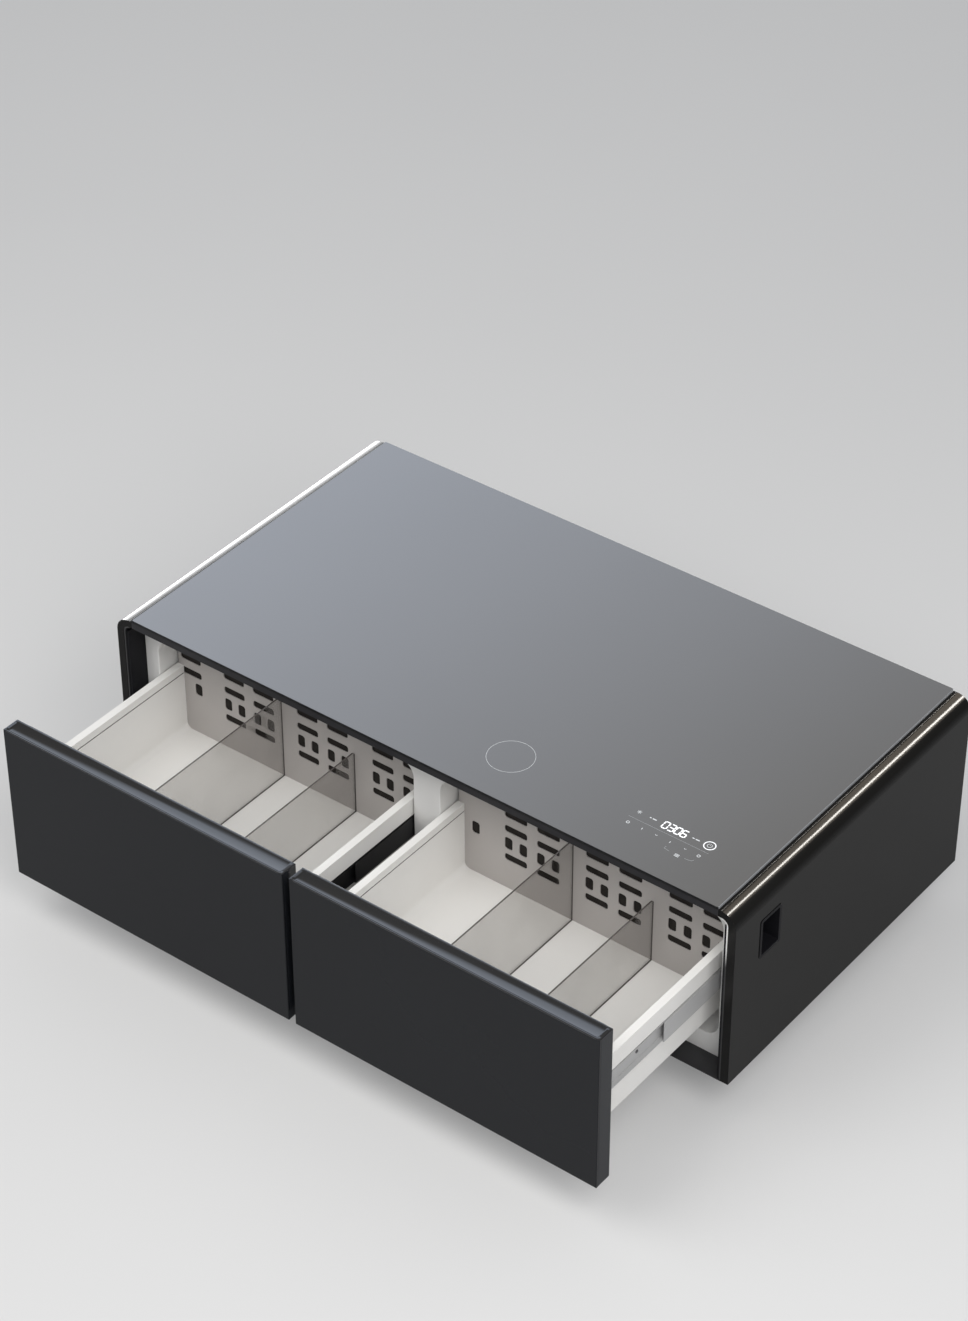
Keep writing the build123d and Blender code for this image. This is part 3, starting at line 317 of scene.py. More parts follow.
def surface_parts(tree, quantity):
    """X, Y and Z of a place on the surface, or of its normal."""
    place = tree.nodes.new("ShaderNodeNewGeometry")
    parts = tree.nodes.new("ShaderNodeSeparateXYZ")
    link(tree, place, quantity, parts, "Vector")
    return parts


def mix_shaders(tree, share, socket, first, second):
    """The first shader where a share is none, the second where it is full."""
    mix = tree.nodes.new("ShaderNodeMixShader")
    link(tree, share, socket, mix, "Fac")
    tree.links.new(first.outputs[0], mix.inputs[1])
    tree.links.new(second.outputs[0], mix.inputs[2])
    return mix


def object_noise(tree, coordinates, scale, detail, stretch=(1, 1, 1)):
    """A noise texture in object space, stretched along the axes."""
    mapping = add(tree, "ShaderNodeMapping", Scale=stretch)
    link(tree, coordinates, "Object", mapping, "Vector")
    noise = add(tree, "ShaderNodeTexNoise", Scale=scale, Detail=detail)
    link(tree, mapping, "Vector", noise, "Vector")
    return noise


def finish_material(
    name,
    colour,
    roughness,
    tone=0.06,
    tone_scale=7,
    rough_spread=0.05,
    grain_scale=900,
    grain=0.05,
    stretch=(1, 1, 1),
    **shader_values,
):
    """A surface whose colour, gloss and fine relief all vary a little."""
    made = new_nodes(name)
    tree = made.node_tree
    output = add(tree, "ShaderNodeOutputMaterial")
    shader = add(tree, "ShaderNodeBsdfPrincipled")
    for socket, value in shader_values.items():
        shader.inputs[socket.replace("_", " ")].default_value = value
    link(tree, shader, "BSDF", output, "Surface")
    coordinates = tree.nodes.new("ShaderNodeTexCoord")

    clouds = object_noise(tree, coordinates, tone_scale, 3, stretch)
    ramp = tree.nodes.new("ShaderNodeValToRGB")
    ramp.color_ramp.elements[0].position = TONE_LIMITS[0]
    ramp.color_ramp.elements[1].position = TONE_LIMITS[1]
    ramp.color_ramp.elements[0].color = (*[part * (1 - tone) for part in colour], 1)
    ramp.color_ramp.elements[1].color = (*[min(1, part * (1 + tone)) for part in colour], 1)
    link(tree, clouds, "Fac", ramp, "Fac")
    link(tree, ramp, "Color", shader, "Base Color")

    smears = object_noise(tree, coordinates, tone_scale * SMEAR_SCALE, 4, stretch)
    spread = add(
        tree, "ShaderNodeMapRange", From_Min=GLOSS_LIMITS[0], From_Max=GLOSS_LIMITS[1],
        To_Min=max(LOWEST_ROUGHNESS, roughness - rough_spread), To_Max=min(1, roughness + rough_spread),
    )
    link(tree, smears, "Fac", spread, "Value")
    link(tree, spread, "Result", shader, "Roughness")

    relief = object_noise(tree, coordinates, grain_scale, 2, stretch)
    bump = add(tree, "ShaderNodeBump", Strength=grain, Distance=GRAIN_DEPTH)
    link(tree, relief, "Fac", bump, "Height")
    link(tree, bump, "Normal", shader, "Normal")
    return made


def facing(tree, axis, low, high, falling=False):
    """How far a face looks along an axis, either way, between two limits; falling turns the share round."""
    size = calculation(tree, "ABSOLUTE")
    link(tree, surface_parts(tree, "True Normal"), axis, size, 0)
    share = add(
        tree, "ShaderNodeMapRange", From_Min=low, From_Max=high,
        To_Min=float(falling), To_Max=float(not falling),
    )
    link(tree, size, "Value", share, "Value")
    return share


def spangled_steel():
    """Zinc-coated steel with its crystal spangle."""
    made = finish_material("zinc_steel", (0.50, 0.51, 0.53), 0.42, tone=0.05, Metallic=0.85)
    tree = made.node_tree
    cells = add(tree, "ShaderNodeTexVoronoi", Scale=70)
    link(tree, find(tree, "TEX_COORD"), "Object", cells, "Vector")
    ramp = tree.nodes.new("ShaderNodeValToRGB")
    ramp.color_ramp.elements[0].color = (0.38, 0.39, 0.41, 1)
    ramp.color_ramp.elements[1].color = (0.58, 0.59, 0.61, 1)
    link(tree, cells, "Color", ramp, "Fac")
    link(tree, ramp, "Color", find(tree, "BSDF_PRINCIPLED"), "Base Color")
    return made


def slide_steel():
    """Dull steel of the slides, with painted shade: black on the inner ones, between the two drawers."""
    made = finish_material(
        "slide_steel", (0.52, 0.52, 0.52), 0.45, tone=0.06, tone_scale=20, grain_scale=300, grain=0.06,
        stretch=(1, 0.05, 1), Metallic=0.15,
    )
    tree = made.node_tree
    bare = find(tree, "BSDF_PRINCIPLED")
    # Black for the inner slides: painted shade, as they lie in the dark gap between the drawers
    dark = add(tree, "ShaderNodeBsdfPrincipled", Base_Color=(0.014, 0.014, 0.015, 1), Roughness=0.4)
    distance = calculation(tree, "ABSOLUTE")
    link(tree, surface_parts(tree, "Position"), "X", distance, 0)
    share = add(tree, "ShaderNodeMapRange", From_Min=SHADED_SLIDE_LIMITS[0], From_Max=SHADED_SLIDE_LIMITS[1])
    link(tree, distance, "Value", share, "Value")
    mix = mix_shaders(tree, share, "Result", dark, bare)
    link(tree, mix, "Shader", find(tree, "OUTPUT_MATERIAL"), "Surface")
    return made


def clear_acrylic():
    """Clear acrylic whose faces nearly vanish and whose polished edges look smoky."""
    made = new_nodes("clear_acrylic")
    tree = made.node_tree
    output = add(tree, "ShaderNodeOutputMaterial")
    coordinates = tree.nodes.new("ShaderNodeTexCoord")
    relief = object_noise(tree, coordinates, 14, 2)
    bump = add(tree, "ShaderNodeBump", Strength=0.03, Distance=0.3 * MM)
    link(tree, relief, "Fac", bump, "Height")
    tint = tree.nodes.new("ShaderNodeValToRGB")
    tint.color_ramp.elements[0].color = (0.84, 0.835, 0.83, 1)
    tint.color_ramp.elements[1].color = (0.91, 0.905, 0.90, 1)
    link(tree, relief, "Fac", tint, "Fac")
    through = tree.nodes.new("ShaderNodeBsdfTransparent")
    link(tree, tint, "Color", through, "Color")
    gloss = add(tree, "ShaderNodeBsdfGlossy", Roughness=0.06)
    link(tree, bump, "Normal", gloss, "Normal")
    weight = add(tree, "ShaderNodeLayerWeight", Blend=0.35)
    link(tree, bump, "Normal", weight, "Normal")
    share = add(tree, "ShaderNodeMapRange", From_Min=0.1, From_Max=1.0, To_Min=0.04, To_Max=0.30)
    link(tree, weight, "Fresnel", share, "Value")
    faces = mix_shaders(tree, share, "Result", through, gloss)
    rim = add(tree, "ShaderNodeBsdfPrincipled", Base_Color=(0.10, 0.09, 0.085, 1), Roughness=0.15)
    link(tree, bump, "Normal", rim, "Normal")
    mix = mix_shaders(tree, facing(tree, "X", 0.3, 0.6, falling=True), "Result", faces, rim)
    link(tree, mix, "Shader", output, "Surface")
    return made


def lacquered_glass():
    """Grey lacquered glass, with painted shade and a painted highlight on its ground edges: black at the
    front and back, a grey line along the sides.
    """
    made = finish_material(
        "lacquered_glass", (0.36, 0.36, 0.365), 0.07, tone=0.015, tone_scale=2, rough_spread=0.015,
        grain_scale=1400, grain=0.012, Metallic=0.75, Coat_Weight=0.3, Coat_Roughness=0.04,
    )
    tree = made.node_tree
    face = find(tree, "BSDF_PRINCIPLED")
    # Black edge faces are painted shade; the grey side edges are a painted highlight
    black = add(tree, "ShaderNodeBsdfPrincipled", Base_Color=(0.012, 0.012, 0.013, 1), Roughness=0.35)
    black.inputs["Specular IOR Level"].default_value = 0.15
    grey = add(tree, "ShaderNodeBsdfPrincipled", Base_Color=(0.30, 0.31, 0.325, 1), Roughness=0.25)
    edges = mix_shaders(tree, facing(tree, "Y", 0.3, 0.5), "Result", grey, black)
    mix = mix_shaders(tree, facing(tree, "Z", 0.9, 0.97), "Result", edges, face)
    link(tree, mix, "Shader", find(tree, "OUTPUT_MATERIAL"), "Surface")
    return made


def trim_highlight_material():
    """Dark lining of the front, with a pale painted highlight at its upper right corner."""
    made = finish_material("pale_trim", (0.90, 0.90, 0.88), 0.30, tone=0.03, tone_scale=12)
    tree = made.node_tree
    pale = find(tree, "BSDF_PRINCIPLED")
    dark = add(tree, "ShaderNodeBsdfPrincipled", Base_Color=(0.03, 0.03, 0.031, 1), Roughness=0.35)
    # Pale painted highlight on the right side only, fading in over these heights
    parts = surface_parts(tree, "Position")
    height = add(tree, "ShaderNodeMapRange", From_Min=TRIM_HIGHLIGHT_FADE[0], From_Max=TRIM_HIGHLIGHT_FADE[1])
    link(tree, parts, "Z", height, "Value")
    right = calculation(tree, "GREATER_THAN")
    link(tree, parts, "X", right, 0)
    both = calculation(tree, "MULTIPLY")
    link(tree, height, "Result", both, 0)
    link(tree, right, "Value", both, 1)
    mix = mix_shaders(tree, both, "Value", dark, pale)
    link(tree, mix, "Shader", find(tree, "OUTPUT_MATERIAL"), "Surface")
    return made


def glowing(name, colour, strength):
    """A lit mark or diffuser, a little uneven."""
    made = finish_material(name, colour, 0.35, tone=0.04, tone_scale=60)
    shader = find(made.node_tree, "BSDF_PRINCIPLED")
    shader.inputs["Emission Color"].default_value = (*colour, 1)
    shader.inputs["Emission Strength"].default_value = strength
    return made


def make_materials():
    """One material for each of the record's slots, and for the marks and fittings."""
    return {
        "lacquered_glass": lacquered_glass(),
        "gunmetal_shell": finish_material(
            "gunmetal_shell", (0.0105, 0.0103, 0.0100), 0.15, tone=0.05, tone_scale=5, rough_spread=0.004,
            grain_scale=700, grain=0.002, Specular_IOR_Level=0.1,
        ),
        "black_glass": finish_material(
            "black_glass", (0.0115, 0.0125, 0.0150), 0.12, tone=0.05, tone_scale=3, rough_spread=0.02,
            grain_scale=500, grain=0.01, Specular_IOR_Level=0.2,
        ),
        "black_moulding": finish_material(
            "black_moulding", (0.015, 0.0165, 0.0205), 0.20, tone=0.08, tone_scale=9, rough_spread=0.03,
            grain_scale=1500, grain=0.01, Specular_IOR_Level=0.25,
        ),
        "pale_trim": trim_highlight_material(),
        "white_liner": finish_material(
            "white_liner", (0.87, 0.865, 0.85), 0.38, tone=0.025, tone_scale=6, grain_scale=800, grain=0.06,
        ),
        "white_bin": finish_material(
            "white_bin", (0.88, 0.87, 0.845), 0.33, tone=0.02, tone_scale=6, grain_scale=800, grain=0.05,
        ),
        "panel_grey": finish_material(
            "panel_grey", (0.47, 0.445, 0.43), 0.40, tone=0.03, tone_scale=9, grain_scale=1000, grain=0.07,
        ),
        "clear_acrylic": clear_acrylic(),
        "slide_steel": slide_steel(),
        "seal_rubber": finish_material("seal_rubber", (0.30, 0.30, 0.31), 0.60, tone=0.06, tone_scale=25),
        "foam": finish_material(
            "foam", (0.66, 0.60, 0.42), 0.90, tone=0.12, tone_scale=40, grain_scale=500, grain=0.6,
        ),
        "zinc_steel": spangled_steel(),
        "black_steel": finish_material(
            "black_steel", (0.026, 0.026, 0.028), 0.48, tone=0.10, tone_scale=18,
            grain_scale=1800, grain=0.30,
        ),
        "compressor_black": finish_material(
            "compressor_black", (0.018, 0.018, 0.019), 0.34, tone=0.12, tone_scale=14,
            grain_scale=600, grain=0.15,
        ),
        "fin_aluminium": finish_material(
            "fin_aluminium", (0.68, 0.69, 0.70), 0.34, tone=0.06, tone_scale=30, grain_scale=500, grain=0.10,
            stretch=(1, 1, 0.1), Metallic=0.95,
        ),
        "copper": finish_material(
            "copper", (0.72, 0.36, 0.20), 0.28, tone=0.14, tone_scale=22,
            grain_scale=400, grain=0.06, Metallic=1.0,
        ),
        "black_plastic": finish_material(
            "black_plastic", (0.020, 0.020, 0.021), 0.38, tone=0.08, tone_scale=20,
            grain_scale=1600, grain=0.14,
        ),
        "board": finish_material("board", (0.02, 0.08, 0.05), 0.45, tone=0.15, tone_scale=90),
        "diffuser": glowing("diffuser", (0.90, 0.92, 0.95), 0.6),
        "grommet_rubber": finish_material(
            "grommet_rubber", (0.025, 0.025, 0.025), 0.75, tone=0.1, tone_scale=60,
        ),
        "foot_plastic": finish_material(
            "foot_plastic", (0.035, 0.035, 0.036), 0.50, tone=0.08, tone_scale=50,
            grain_scale=1500, grain=0.15,
        ),
        "bright_mark": glowing("bright_mark", (0.92, 0.94, 0.97), 0.55),
        "soft_mark": glowing("soft_mark", (0.60, 0.62, 0.64), 0.32),
        "faint_mark": glowing("faint_mark", (0.38, 0.39, 0.41), 0.12),
        "screw_steel": finish_material(
            "screw_steel", (0.20, 0.20, 0.21), 0.32, tone=0.1, tone_scale=150, Metallic=0.9,
        ),
        # Darker, duller black: painted shade for the parts that sit in the recess
        "shaded_black": finish_material(
            "shaded_black", (0.010, 0.010, 0.012), 0.45, tone=0.08, tone_scale=20,
            grain_scale=1600, grain=0.05, Specular_IOR_Level=0.1,
        ),
        "header_black": finish_material(
            "header_black", (0.025, 0.025, 0.028), 0.40, tone=0.08, tone_scale=20,
            grain_scale=1600, grain=0.05, Specular_IOR_Level=0.2,
        ),
        "pull_gloss": finish_material(
            "pull_gloss", (0.010, 0.011, 0.014), 0.12, tone=0.06, tone_scale=9, rough_spread=0.02,
            grain_scale=1200, grain=0.004, Specular_IOR_Level=1.0, Coat_Weight=0.8, Coat_Roughness=0.08,
        ),
        # Pale grey of the left bead: a painted highlight
        "highlit_bead": finish_material(
            "highlit_bead", (0.36, 0.36, 0.36), 0.55, tone=0.06, tone_scale=60, Specular_IOR_Level=0.1,
        ),
        # Near-black sheet behind the slots: painted shade
        "slot_shade_sheet": finish_material(
            "slot_shade_sheet", (0.028, 0.025, 0.023), 0.85, tone=0.15, tone_scale=80,
            grain_scale=1500, grain=0.3, Specular_IOR_Level=0.1,
        ),
        "brass": finish_material("brass", (0.70, 0.56, 0.28), 0.30, tone=0.08, tone_scale=120, Metallic=1.0),
    }


def dress_nodes(materials):
    """Gives every CAD node the material of its slot, or the finish or painted shade listed for it."""
    for entry in frame["record"]["subparts"]:
        mesh = nodes[entry["node"]].data
        mesh.materials.clear()
        mesh.materials.append(materials[OWN_FINISH_AND_SHADE.get(entry["node"], entry["material_slot"])])


def soften(node, width):
    """Rounds the sharp edges of a CAD node's shown surface, without touching its mesh."""
    shown = nodes[node]
    weld = shown.modifiers.new("weld", "WELD")
    weld.merge_threshold = WELD_REACH
    bevel = shown.modifiers.new("bevel", "BEVEL")
    bevel.width = width
    bevel.segments = SOFTEN_SEGMENTS
    bevel.limit_method = "ANGLE"
    bevel.angle_limit = SOFTEN_ANGLE
    bevel.miter_outer = "MITER_ARC"
    shown.modifiers.new("normals", "WEIGHTED_NORMAL").keep_sharp = False


def mesh_piece(name, build, body, material):
    """A piece made in mesh code that rides on a body."""
    mesh = bpy.data.meshes.new(name)
    work = bmesh.new()
    build(work)
    bmesh.ops.recalc_face_normals(work, faces=work.faces)
    work.to_mesh(mesh)
    work.free()
    made = bpy.data.objects.new(name, mesh)
    scene.collection.objects.link(made)
    mesh.materials.append(material)
    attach(made, body)
    return made


def smooth(piece):
    """Shades a piece smoothly, save at its sharp edges."""
    for face in piece.data.polygons:
        face.use_smooth = True
    piece.data.set_sharp_from_angle(angle=SMOOTH_ANGLE)


def skin(work, loops, closed=False, capped=True):
    """Faces along a row of corner loops: joined end to start where closed, or else with its ends capped."""
    rows = list(zip(loops, loops[1:]))
    if closed:
        rows.append((loops[-1], loops[0]))
    for here, there in rows:
        for corner in range(len(here)):
            after = (corner + 1) % len(here)
            work.faces.new((here[corner], there[corner], there[after], here[after]))
    if capped and not closed:
        work.faces.new(loops[0][::-1])
        work.faces.new(loops[-1])


def prism(work, corners, low, high):
    """A flat prism between two heights over a loop of corners."""
    skin(work, [[work.verts.new((x, y, z)) for x, y in corners] for z in (low, high)])


def sweep_y(work, corners, start, end):
    """Carries a loop of corners in X and Z along Y."""
    skin(work, [[work.verts.new((x, y, z)) for x, z in corners] for y in (start, end)])


def rectangle(centre, size):
    """Corners of a rectangle round a centre."""
    return [
        (centre[0] + a * size[0] / 2, centre[1] + b * size[1] / 2)
        for a, b in ((-1, -1), (1, -1), (1, 1), (-1, 1))
    ]


def stroke(work, start, end, width, low, high, gap=0.0):
    """A bar with pointed ends between two points, as a lit segment has."""
    a = Vector(start)
    b = Vector(end)
    along = (b - a).normalized()
    across = Vector((-along.y, along.x)) * width / 2
    a = a + along * gap
    b = b - along * gap
    tip = along * width / 2
    corners = [a, a + tip - across, b - tip - across, b, b - tip + across, a + tip + across]
    prism(work, [(p.x, p.y) for p in corners], low, high)


def ring(work, centre, radius, width, low, high, steps, start=0.0, turn=2 * math.pi):
    """A thin ring, or part of one, lying flat."""
    closed = abs(turn - 2 * math.pi) < 1e-6
    inner = radius - width / 2
    outer = radius + width / 2
    loops = []
    for index in range(steps if closed else steps + 1):
        angle = start + turn * index / steps
        unit = Vector((math.cos(angle), math.sin(angle)))
        loop = []
        for reach, z in ((inner, low), (outer, low), (outer, high), (inner, high)):
            point = Vector(centre) + unit * reach
            loop.append(work.verts.new((point.x, point.y, z)))
        loops.append(loop)
    skin(work, loops, closed)


def glass_marks(materials):
    """The charging circle and the lit display, a hair proud of the glass."""
    low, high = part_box("glass_top")
    bottom = high.z - MARK_SINK
    top = high.z + MARK_HEIGHT

    def place(point):
        return point[0], low.y + point[1]

    def circle(work):
        ring(work, place(CHARGER_PLACE), CHARGER_RADIUS, CHARGER_LINE, bottom, top, steps=160)

    def digits(work):
        for index, digit in enumerate(DIGITS):
            left = DIGIT_START + index * DIGIT_PITCH
            for bar in DIGIT_BARS[digit]:
                ends = [
                    place((left + x * DIGIT_WIDTH, DIGIT_BASE + y * DIGIT_HEIGHT))
                    for x, y in BARS[bar]
                ]
                stroke(work, *ends, DIGIT_STROKE, bottom, top, DIGIT_GAP)

    def power_ring(work):
        ring(work, place(RING_PLACE), RING_RADIUS, RING_STROKE, bottom, top, steps=64)

    def power_sign(work):
        x, y = place(RING_PLACE)
        ring(work, (x, y), SIGN_RADIUS, SIGN_STROKE, bottom, top, steps=30, start=SIGN_START, turn=SIGN_TURN)
        stroke(work, (x, y + SIGN_STEM[0]), (x, y + SIGN_STEM[1]), SIGN_STROKE, bottom, top)

    def dashes(work):
        for start, end in DASHES:
            stroke(work, place((start, DASH_Y)), place((end, DASH_Y)), DASH_WIDTH, bottom, top)

    def lines(work):
        stroke(work, place(DISPLAY_LINE[0]), place(DISPLAY_LINE[1]), DISPLAY_LINE_WIDTH, bottom, top)
        for points in BRACKET:
            corners = [place((x * MM, y * MM)) for x, y in points]
            for start, end in zip(corners, corners[1:]):
                stroke(work, start, end, BRACKET_WIDTH, bottom, top)

    def keys(work):
        for index, key in enumerate(KEYS_X):
            x, y = place((key, KEYS_Y))
            if index in RING_KEYS:
                ring(work, (x, y), KEY_RING_RADIUS, KEY_RING_STROKE, bottom, top, steps=24)
            elif index in ARROW_KEYS:
                for side in (-1, 1):
                    tip = (x + side * ARROW_REACH[0], y + ARROW_REACH[1])
                    stroke(work, (x, y), tip, ARROW_STROKE, bottom, top)
            else:
                stroke(work, (x, y - BAR_REACH), (x, y + BAR_REACH), BAR_STROKE, bottom, top)
        x, y = place(STAR_PLACE)
        for index in range(3):
            turn = math.radians(30 + 60 * index)
            reach = Vector((math.cos(turn), math.sin(turn))) * STAR_REACH
            stroke(work, (x - reach.x, y - reach.y), (x + reach.x, y + reach.y), STAR_STROKE, bottom, top)
        x, y = place(STACK_PLACE)
        for step in (-1, 0, 1):
            level = y + step * STACK_PITCH
            stroke(work, (x - STACK_REACH, level), (x + STACK_REACH, level), STACK_STROKE, bottom, top)

    for name, build, material in (
        ("charging_circle", circle, "soft_mark"),
        ("display_digits", digits, "bright_mark"),
        ("display_ring", power_ring, "bright_mark"),
        ("display_power_sign", power_sign, "soft_mark"),
        ("display_dashes", dashes, "soft_mark"),
        ("display_lines", lines, "faint_mark"),
        ("display_keys", keys, "soft_mark"),
    ):
        mesh_piece(name, build, "cabinet", materials[material])


def pan_head(work, centre, axis, radius, height):
    """A domed screw head with a cross recess, standing on a surface along an axis."""
    turn = Vector((0, 0, 1)).rotation_difference(Vector(axis)).to_matrix().to_4x4()
    place = Matrix.Translation(centre) @ turn
    angles = [2 * math.pi * step / SCREW_STEPS for step in range(SCREW_STEPS)]

    def loop(reaches, rise):
        return [
            work.verts.new(place @ Vector((reach * math.cos(angle), reach * math.sin(angle), height * rise)))
            for reach, angle in zip(reaches, angles)
        ]

    loops = [loop([radius * reach] * SCREW_STEPS, rise) for reach, rise in SCREW_OUTLINE]
    recess = [radius * (RECESS_CORE + RECESS_ARM * abs(math.cos(2 * angle)) ** 3) for angle in angles]
    loops.append(loop(recess, RECESS_LIP))
    loops.append(loop([RECESS_TAPER * reach for reach in recess], RECESS_FLOOR))
    skin(work, loops, capped=False)
    work.faces.new(loops[-1])


def back_screws(materials):
    """Screws round the rim of the back panel."""
    low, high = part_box("back_panel")
    inset = BACK_SCREW_INSET
    gaps = BACK_SCREW_COLUMNS - 1
    along = [low.x + 3 * inset + (high.x - low.x - 6 * inset) * gap / gaps for gap in range(gaps + 1)]
    ends = [low.x + inset, high.x - inset]

    def build(work):
        for z, row in ((low.z + inset, along), ((low.z + high.z) / 2, ends), (high.z - inset, along)):
            for x in row:
                pan_head(work, (x, high.y, z), (0, 1, 0), BACK_SCREW_RADIUS, BACK_SCREW_HEIGHT)

    smooth(mesh_piece("back_screws", build, "cabinet", materials["screw_steel"]))


def rail_screws(materials):
    """Screws in the web of each drawer rail and rivets in each middle rail."""
    for side in ("left", "right"):
        for member, body, shares, radius, height, depth, way in RAIL_FASTENERS:
            low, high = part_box(f"{side}_{member}_rails")

            def build(work):
                for share in shares:
                    y = low.y + share * (high.y - low.y)
                    for x, inward in ((low.x, 1), (high.x, -1)):
                        centre = (x + inward * depth, y, (low.z + high.z) / 2)
                        pan_head(work, centre, (inward * way, 0, 0), radius, height)

            name = f"{side}_{member}_rail_screws"
            smooth(mesh_piece(name, build, f"{side}_{body}", materials["screw_steel"]))


def groove_shade_strips(materials):
    """Dark strip lying in the groove under each bin's rim, painted shade of the groove."""
    for side in ("left", "right"):
        low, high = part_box(f"{side}_drawer_bin")
        top = high.z - GROOVE_DROP - SHADE_STRIP_GAP
        bottom = high.z - GROOVE_DROP - GROOVE_HEIGHT + SHADE_STRIP_GAP

        def build(work):
            for x, out in ((low.x + CAVITY_INSET, -1), (high.x - CAVITY_INSET, 1)):
                corners = [
                    (x - out * SHADE_STRIP_LIP, (top + bottom) / 2),
                    (x, top),
                    (x + out * GROOVE_DEPTH, top),
                    (x + out * GROOVE_DEPTH, bottom),
                    (x, bottom),
                ]
                sweep_y(work, corners, low.y + SHADE_STRIP_FRONT_GAP, high.y - SHADE_STRIP_BACK_GAP)

        # The groove's painted shade uses the dark rubber material
        mesh_piece(f"{side}_groove_shade_strip", build, f"{side}_drawer", materials["grommet_rubber"])


def slot_shade_sheets(materials):
    """Pleated dark sheet behind each slotted panel, painted shade which makes the slots look black."""
    for side in ("left", "right"):
        low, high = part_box(f"{side}_slotted_panel")
        bottom = low.z + SHADE_SHEET_INSET
        top = high.z - SHADE_SHEET_INSET
        width = high.x - low.x - 2 * SHADE_SHEET_SIDE_INSET
        count = int(width / SHADE_SHEET_PITCH)

        def build(work):
            loops = []
            for index in range(count + 1):
                x = low.x + SHADE_SHEET_SIDE_INSET + index * width / count
                near = high.y + SHADE_SHEET_GAP + SHADE_SHEET_FOLD * (index % 2)
                far = near + SHADE_SHEET_THICKNESS
                section = ((near, bottom), (far, bottom), (far, top), (near, top))
                loops.append([work.verts.new((x, y, z)) for y, z in section])
            skin(work, loops)

        mesh_piece(f"{side}_slot_shade_sheet", build, f"{side}_drawer", materials["slot_shade_sheet"])


def pull_profile(depth):
    """Height of the finger pull's lining over the front's top, at a depth behind the face."""
    if depth < PULL_FRONT:
        return PULL_RISE * math.sin(math.pi / 2 * depth / PULL_FRONT)
    fall = PULL_SLOPE * (PULL_BOTTOM - PULL_FRONT) / 2
    if depth < PULL_BOTTOM:
        share = (PULL_BOTTOM - depth) / (PULL_BOTTOM - PULL_FRONT)
        return PULL_RISE - fall * (1 - share ** 2)
    if depth < PULL_REAR:
        share = (depth - PULL_BOTTOM) / (PULL_REAR - PULL_BOTTOM)
        return PULL_RISE - fall * (1 - share ** 2)
    return PULL_RISE * math.cos(math.pi / 2 * (depth - PULL_REAR) / (PULL_BACK - PULL_REAR)) ** 0.5


def pull_linings(materials):
    """Glossy lining of each finger pull, which falls softly from the face and rises steeply at the back."""
    depths = [PULL_START + (PULL_BACK - PULL_START) * step / PULL_STEPS for step in range(PULL_STEPS + 1)]
    for side in ("left", "right"):
        low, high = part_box(f"{side}_drawer_fascia")
        columns = [(low.x + reach * MM, rise, cut) for reach, rise, cut in PULL_ENDS]
        columns += [(high.x - reach * MM, rise, cut) for reach, rise, cut in reversed(PULL_ENDS)]

        def build(work):
            loops = []
            for x, rise, cut in columns:
                upper = []
                lower = []
                for depth in depths:
                    full = pull_profile(depth)
                    flat = PULL_RISE if PULL_FRONT < depth < PULL_REAR else full
                    height = rise * (flat + cut * (full - flat))
                    under = min(0.0, height) - cut * PULL_SHEET
                    upper.append(work.verts.new((x, low.y + depth, high.z + height)))
                    lower.append(work.verts.new((x, low.y + depth, high.z + under)))
                loops.append(upper + lower[::-1])
            skin(work, loops, capped=False)
            bmesh.ops.remove_doubles(work, verts=work.verts, dist=1e-7)

        name = f"{side}_pull_lining"
        smooth(mesh_piece(name, build, f"{side}_drawer", materials["pull_gloss"]))


def bar_x(work, centre, size, start, end, wall=0.0):
    """A bar along X, or a sleeve where a wall is given, round a centre in Y and Z."""
    outer = [[work.verts.new((x, y, z)) for y, z in rectangle(centre, size)] for x in (start, end)]
    if not wall:
        skin(work, outer)
        return
    bore = (size[0] - 2 * wall, size[1] - 2 * wall)
    inner = [[work.verts.new((x, y, z)) for y, z in rectangle(centre, bore)] for x in (start, end)]
    skin(work, [outer[0], outer[1], inner[1], inner[0]], closed=True)


def contacts(materials):
    """Sleeves and tongues in the socket, and the bright skins of the inlet's pins."""
    low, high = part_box("socket_outlet")
    inlet_low, inlet_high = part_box("power_inlet")
    floor_x = high.x - WELL_DEPTH
    start = inlet_high.y - INLET_DEPTH

    def socket(work):
        for side in (-1, 1):
            middle = (low.y + high.y) / 2
            pin = (middle + side * PIN_SPREAD, high.z - WELL_CENTRE_DROP)
            size = (PIN_SIZE[0] + 2 * SLEEVE_WALL, PIN_SIZE[1] + 2 * SLEEVE_WALL)
            bar_x(work, pin, size, floor_x, floor_x + SLEEVE_HEIGHT, SLEEVE_WALL)
            port = (middle + side * PORT_PITCH / 2, low.z + PORT_PITCH / 2)
            bar_x(work, port, TONGUE_SIZE, floor_x, floor_x + TONGUE_LENGTH)

    def pins(work):
        for step in (-1, 0, 1):
            x = (inlet_low.x + inlet_high.x) / 2 + step * INLET_PIN_PITCH
            z = (inlet_low.z + inlet_high.z) / 2 + abs(step) * INLET_PIN_RISE
            loops = []
            for length, shrink in (
                (0, 0),
                (INLET_PIN[1] - INLET_PIN_TAPER, 0),
                (INLET_PIN[1], INLET_PIN_CHAMFER),
            ):
                size = (INLET_PIN[0] - 2 * shrink, INLET_PIN[2] - 2 * shrink)
                loops.append([work.verts.new((a, start + length, b)) for a, b in rectangle((x, z), size)])
            skin(work, loops)

    mesh_piece("socket_contacts", socket, "cabinet", materials["brass"])
    mesh_piece("inlet_pins", pins, "cabinet", materials["brass"])


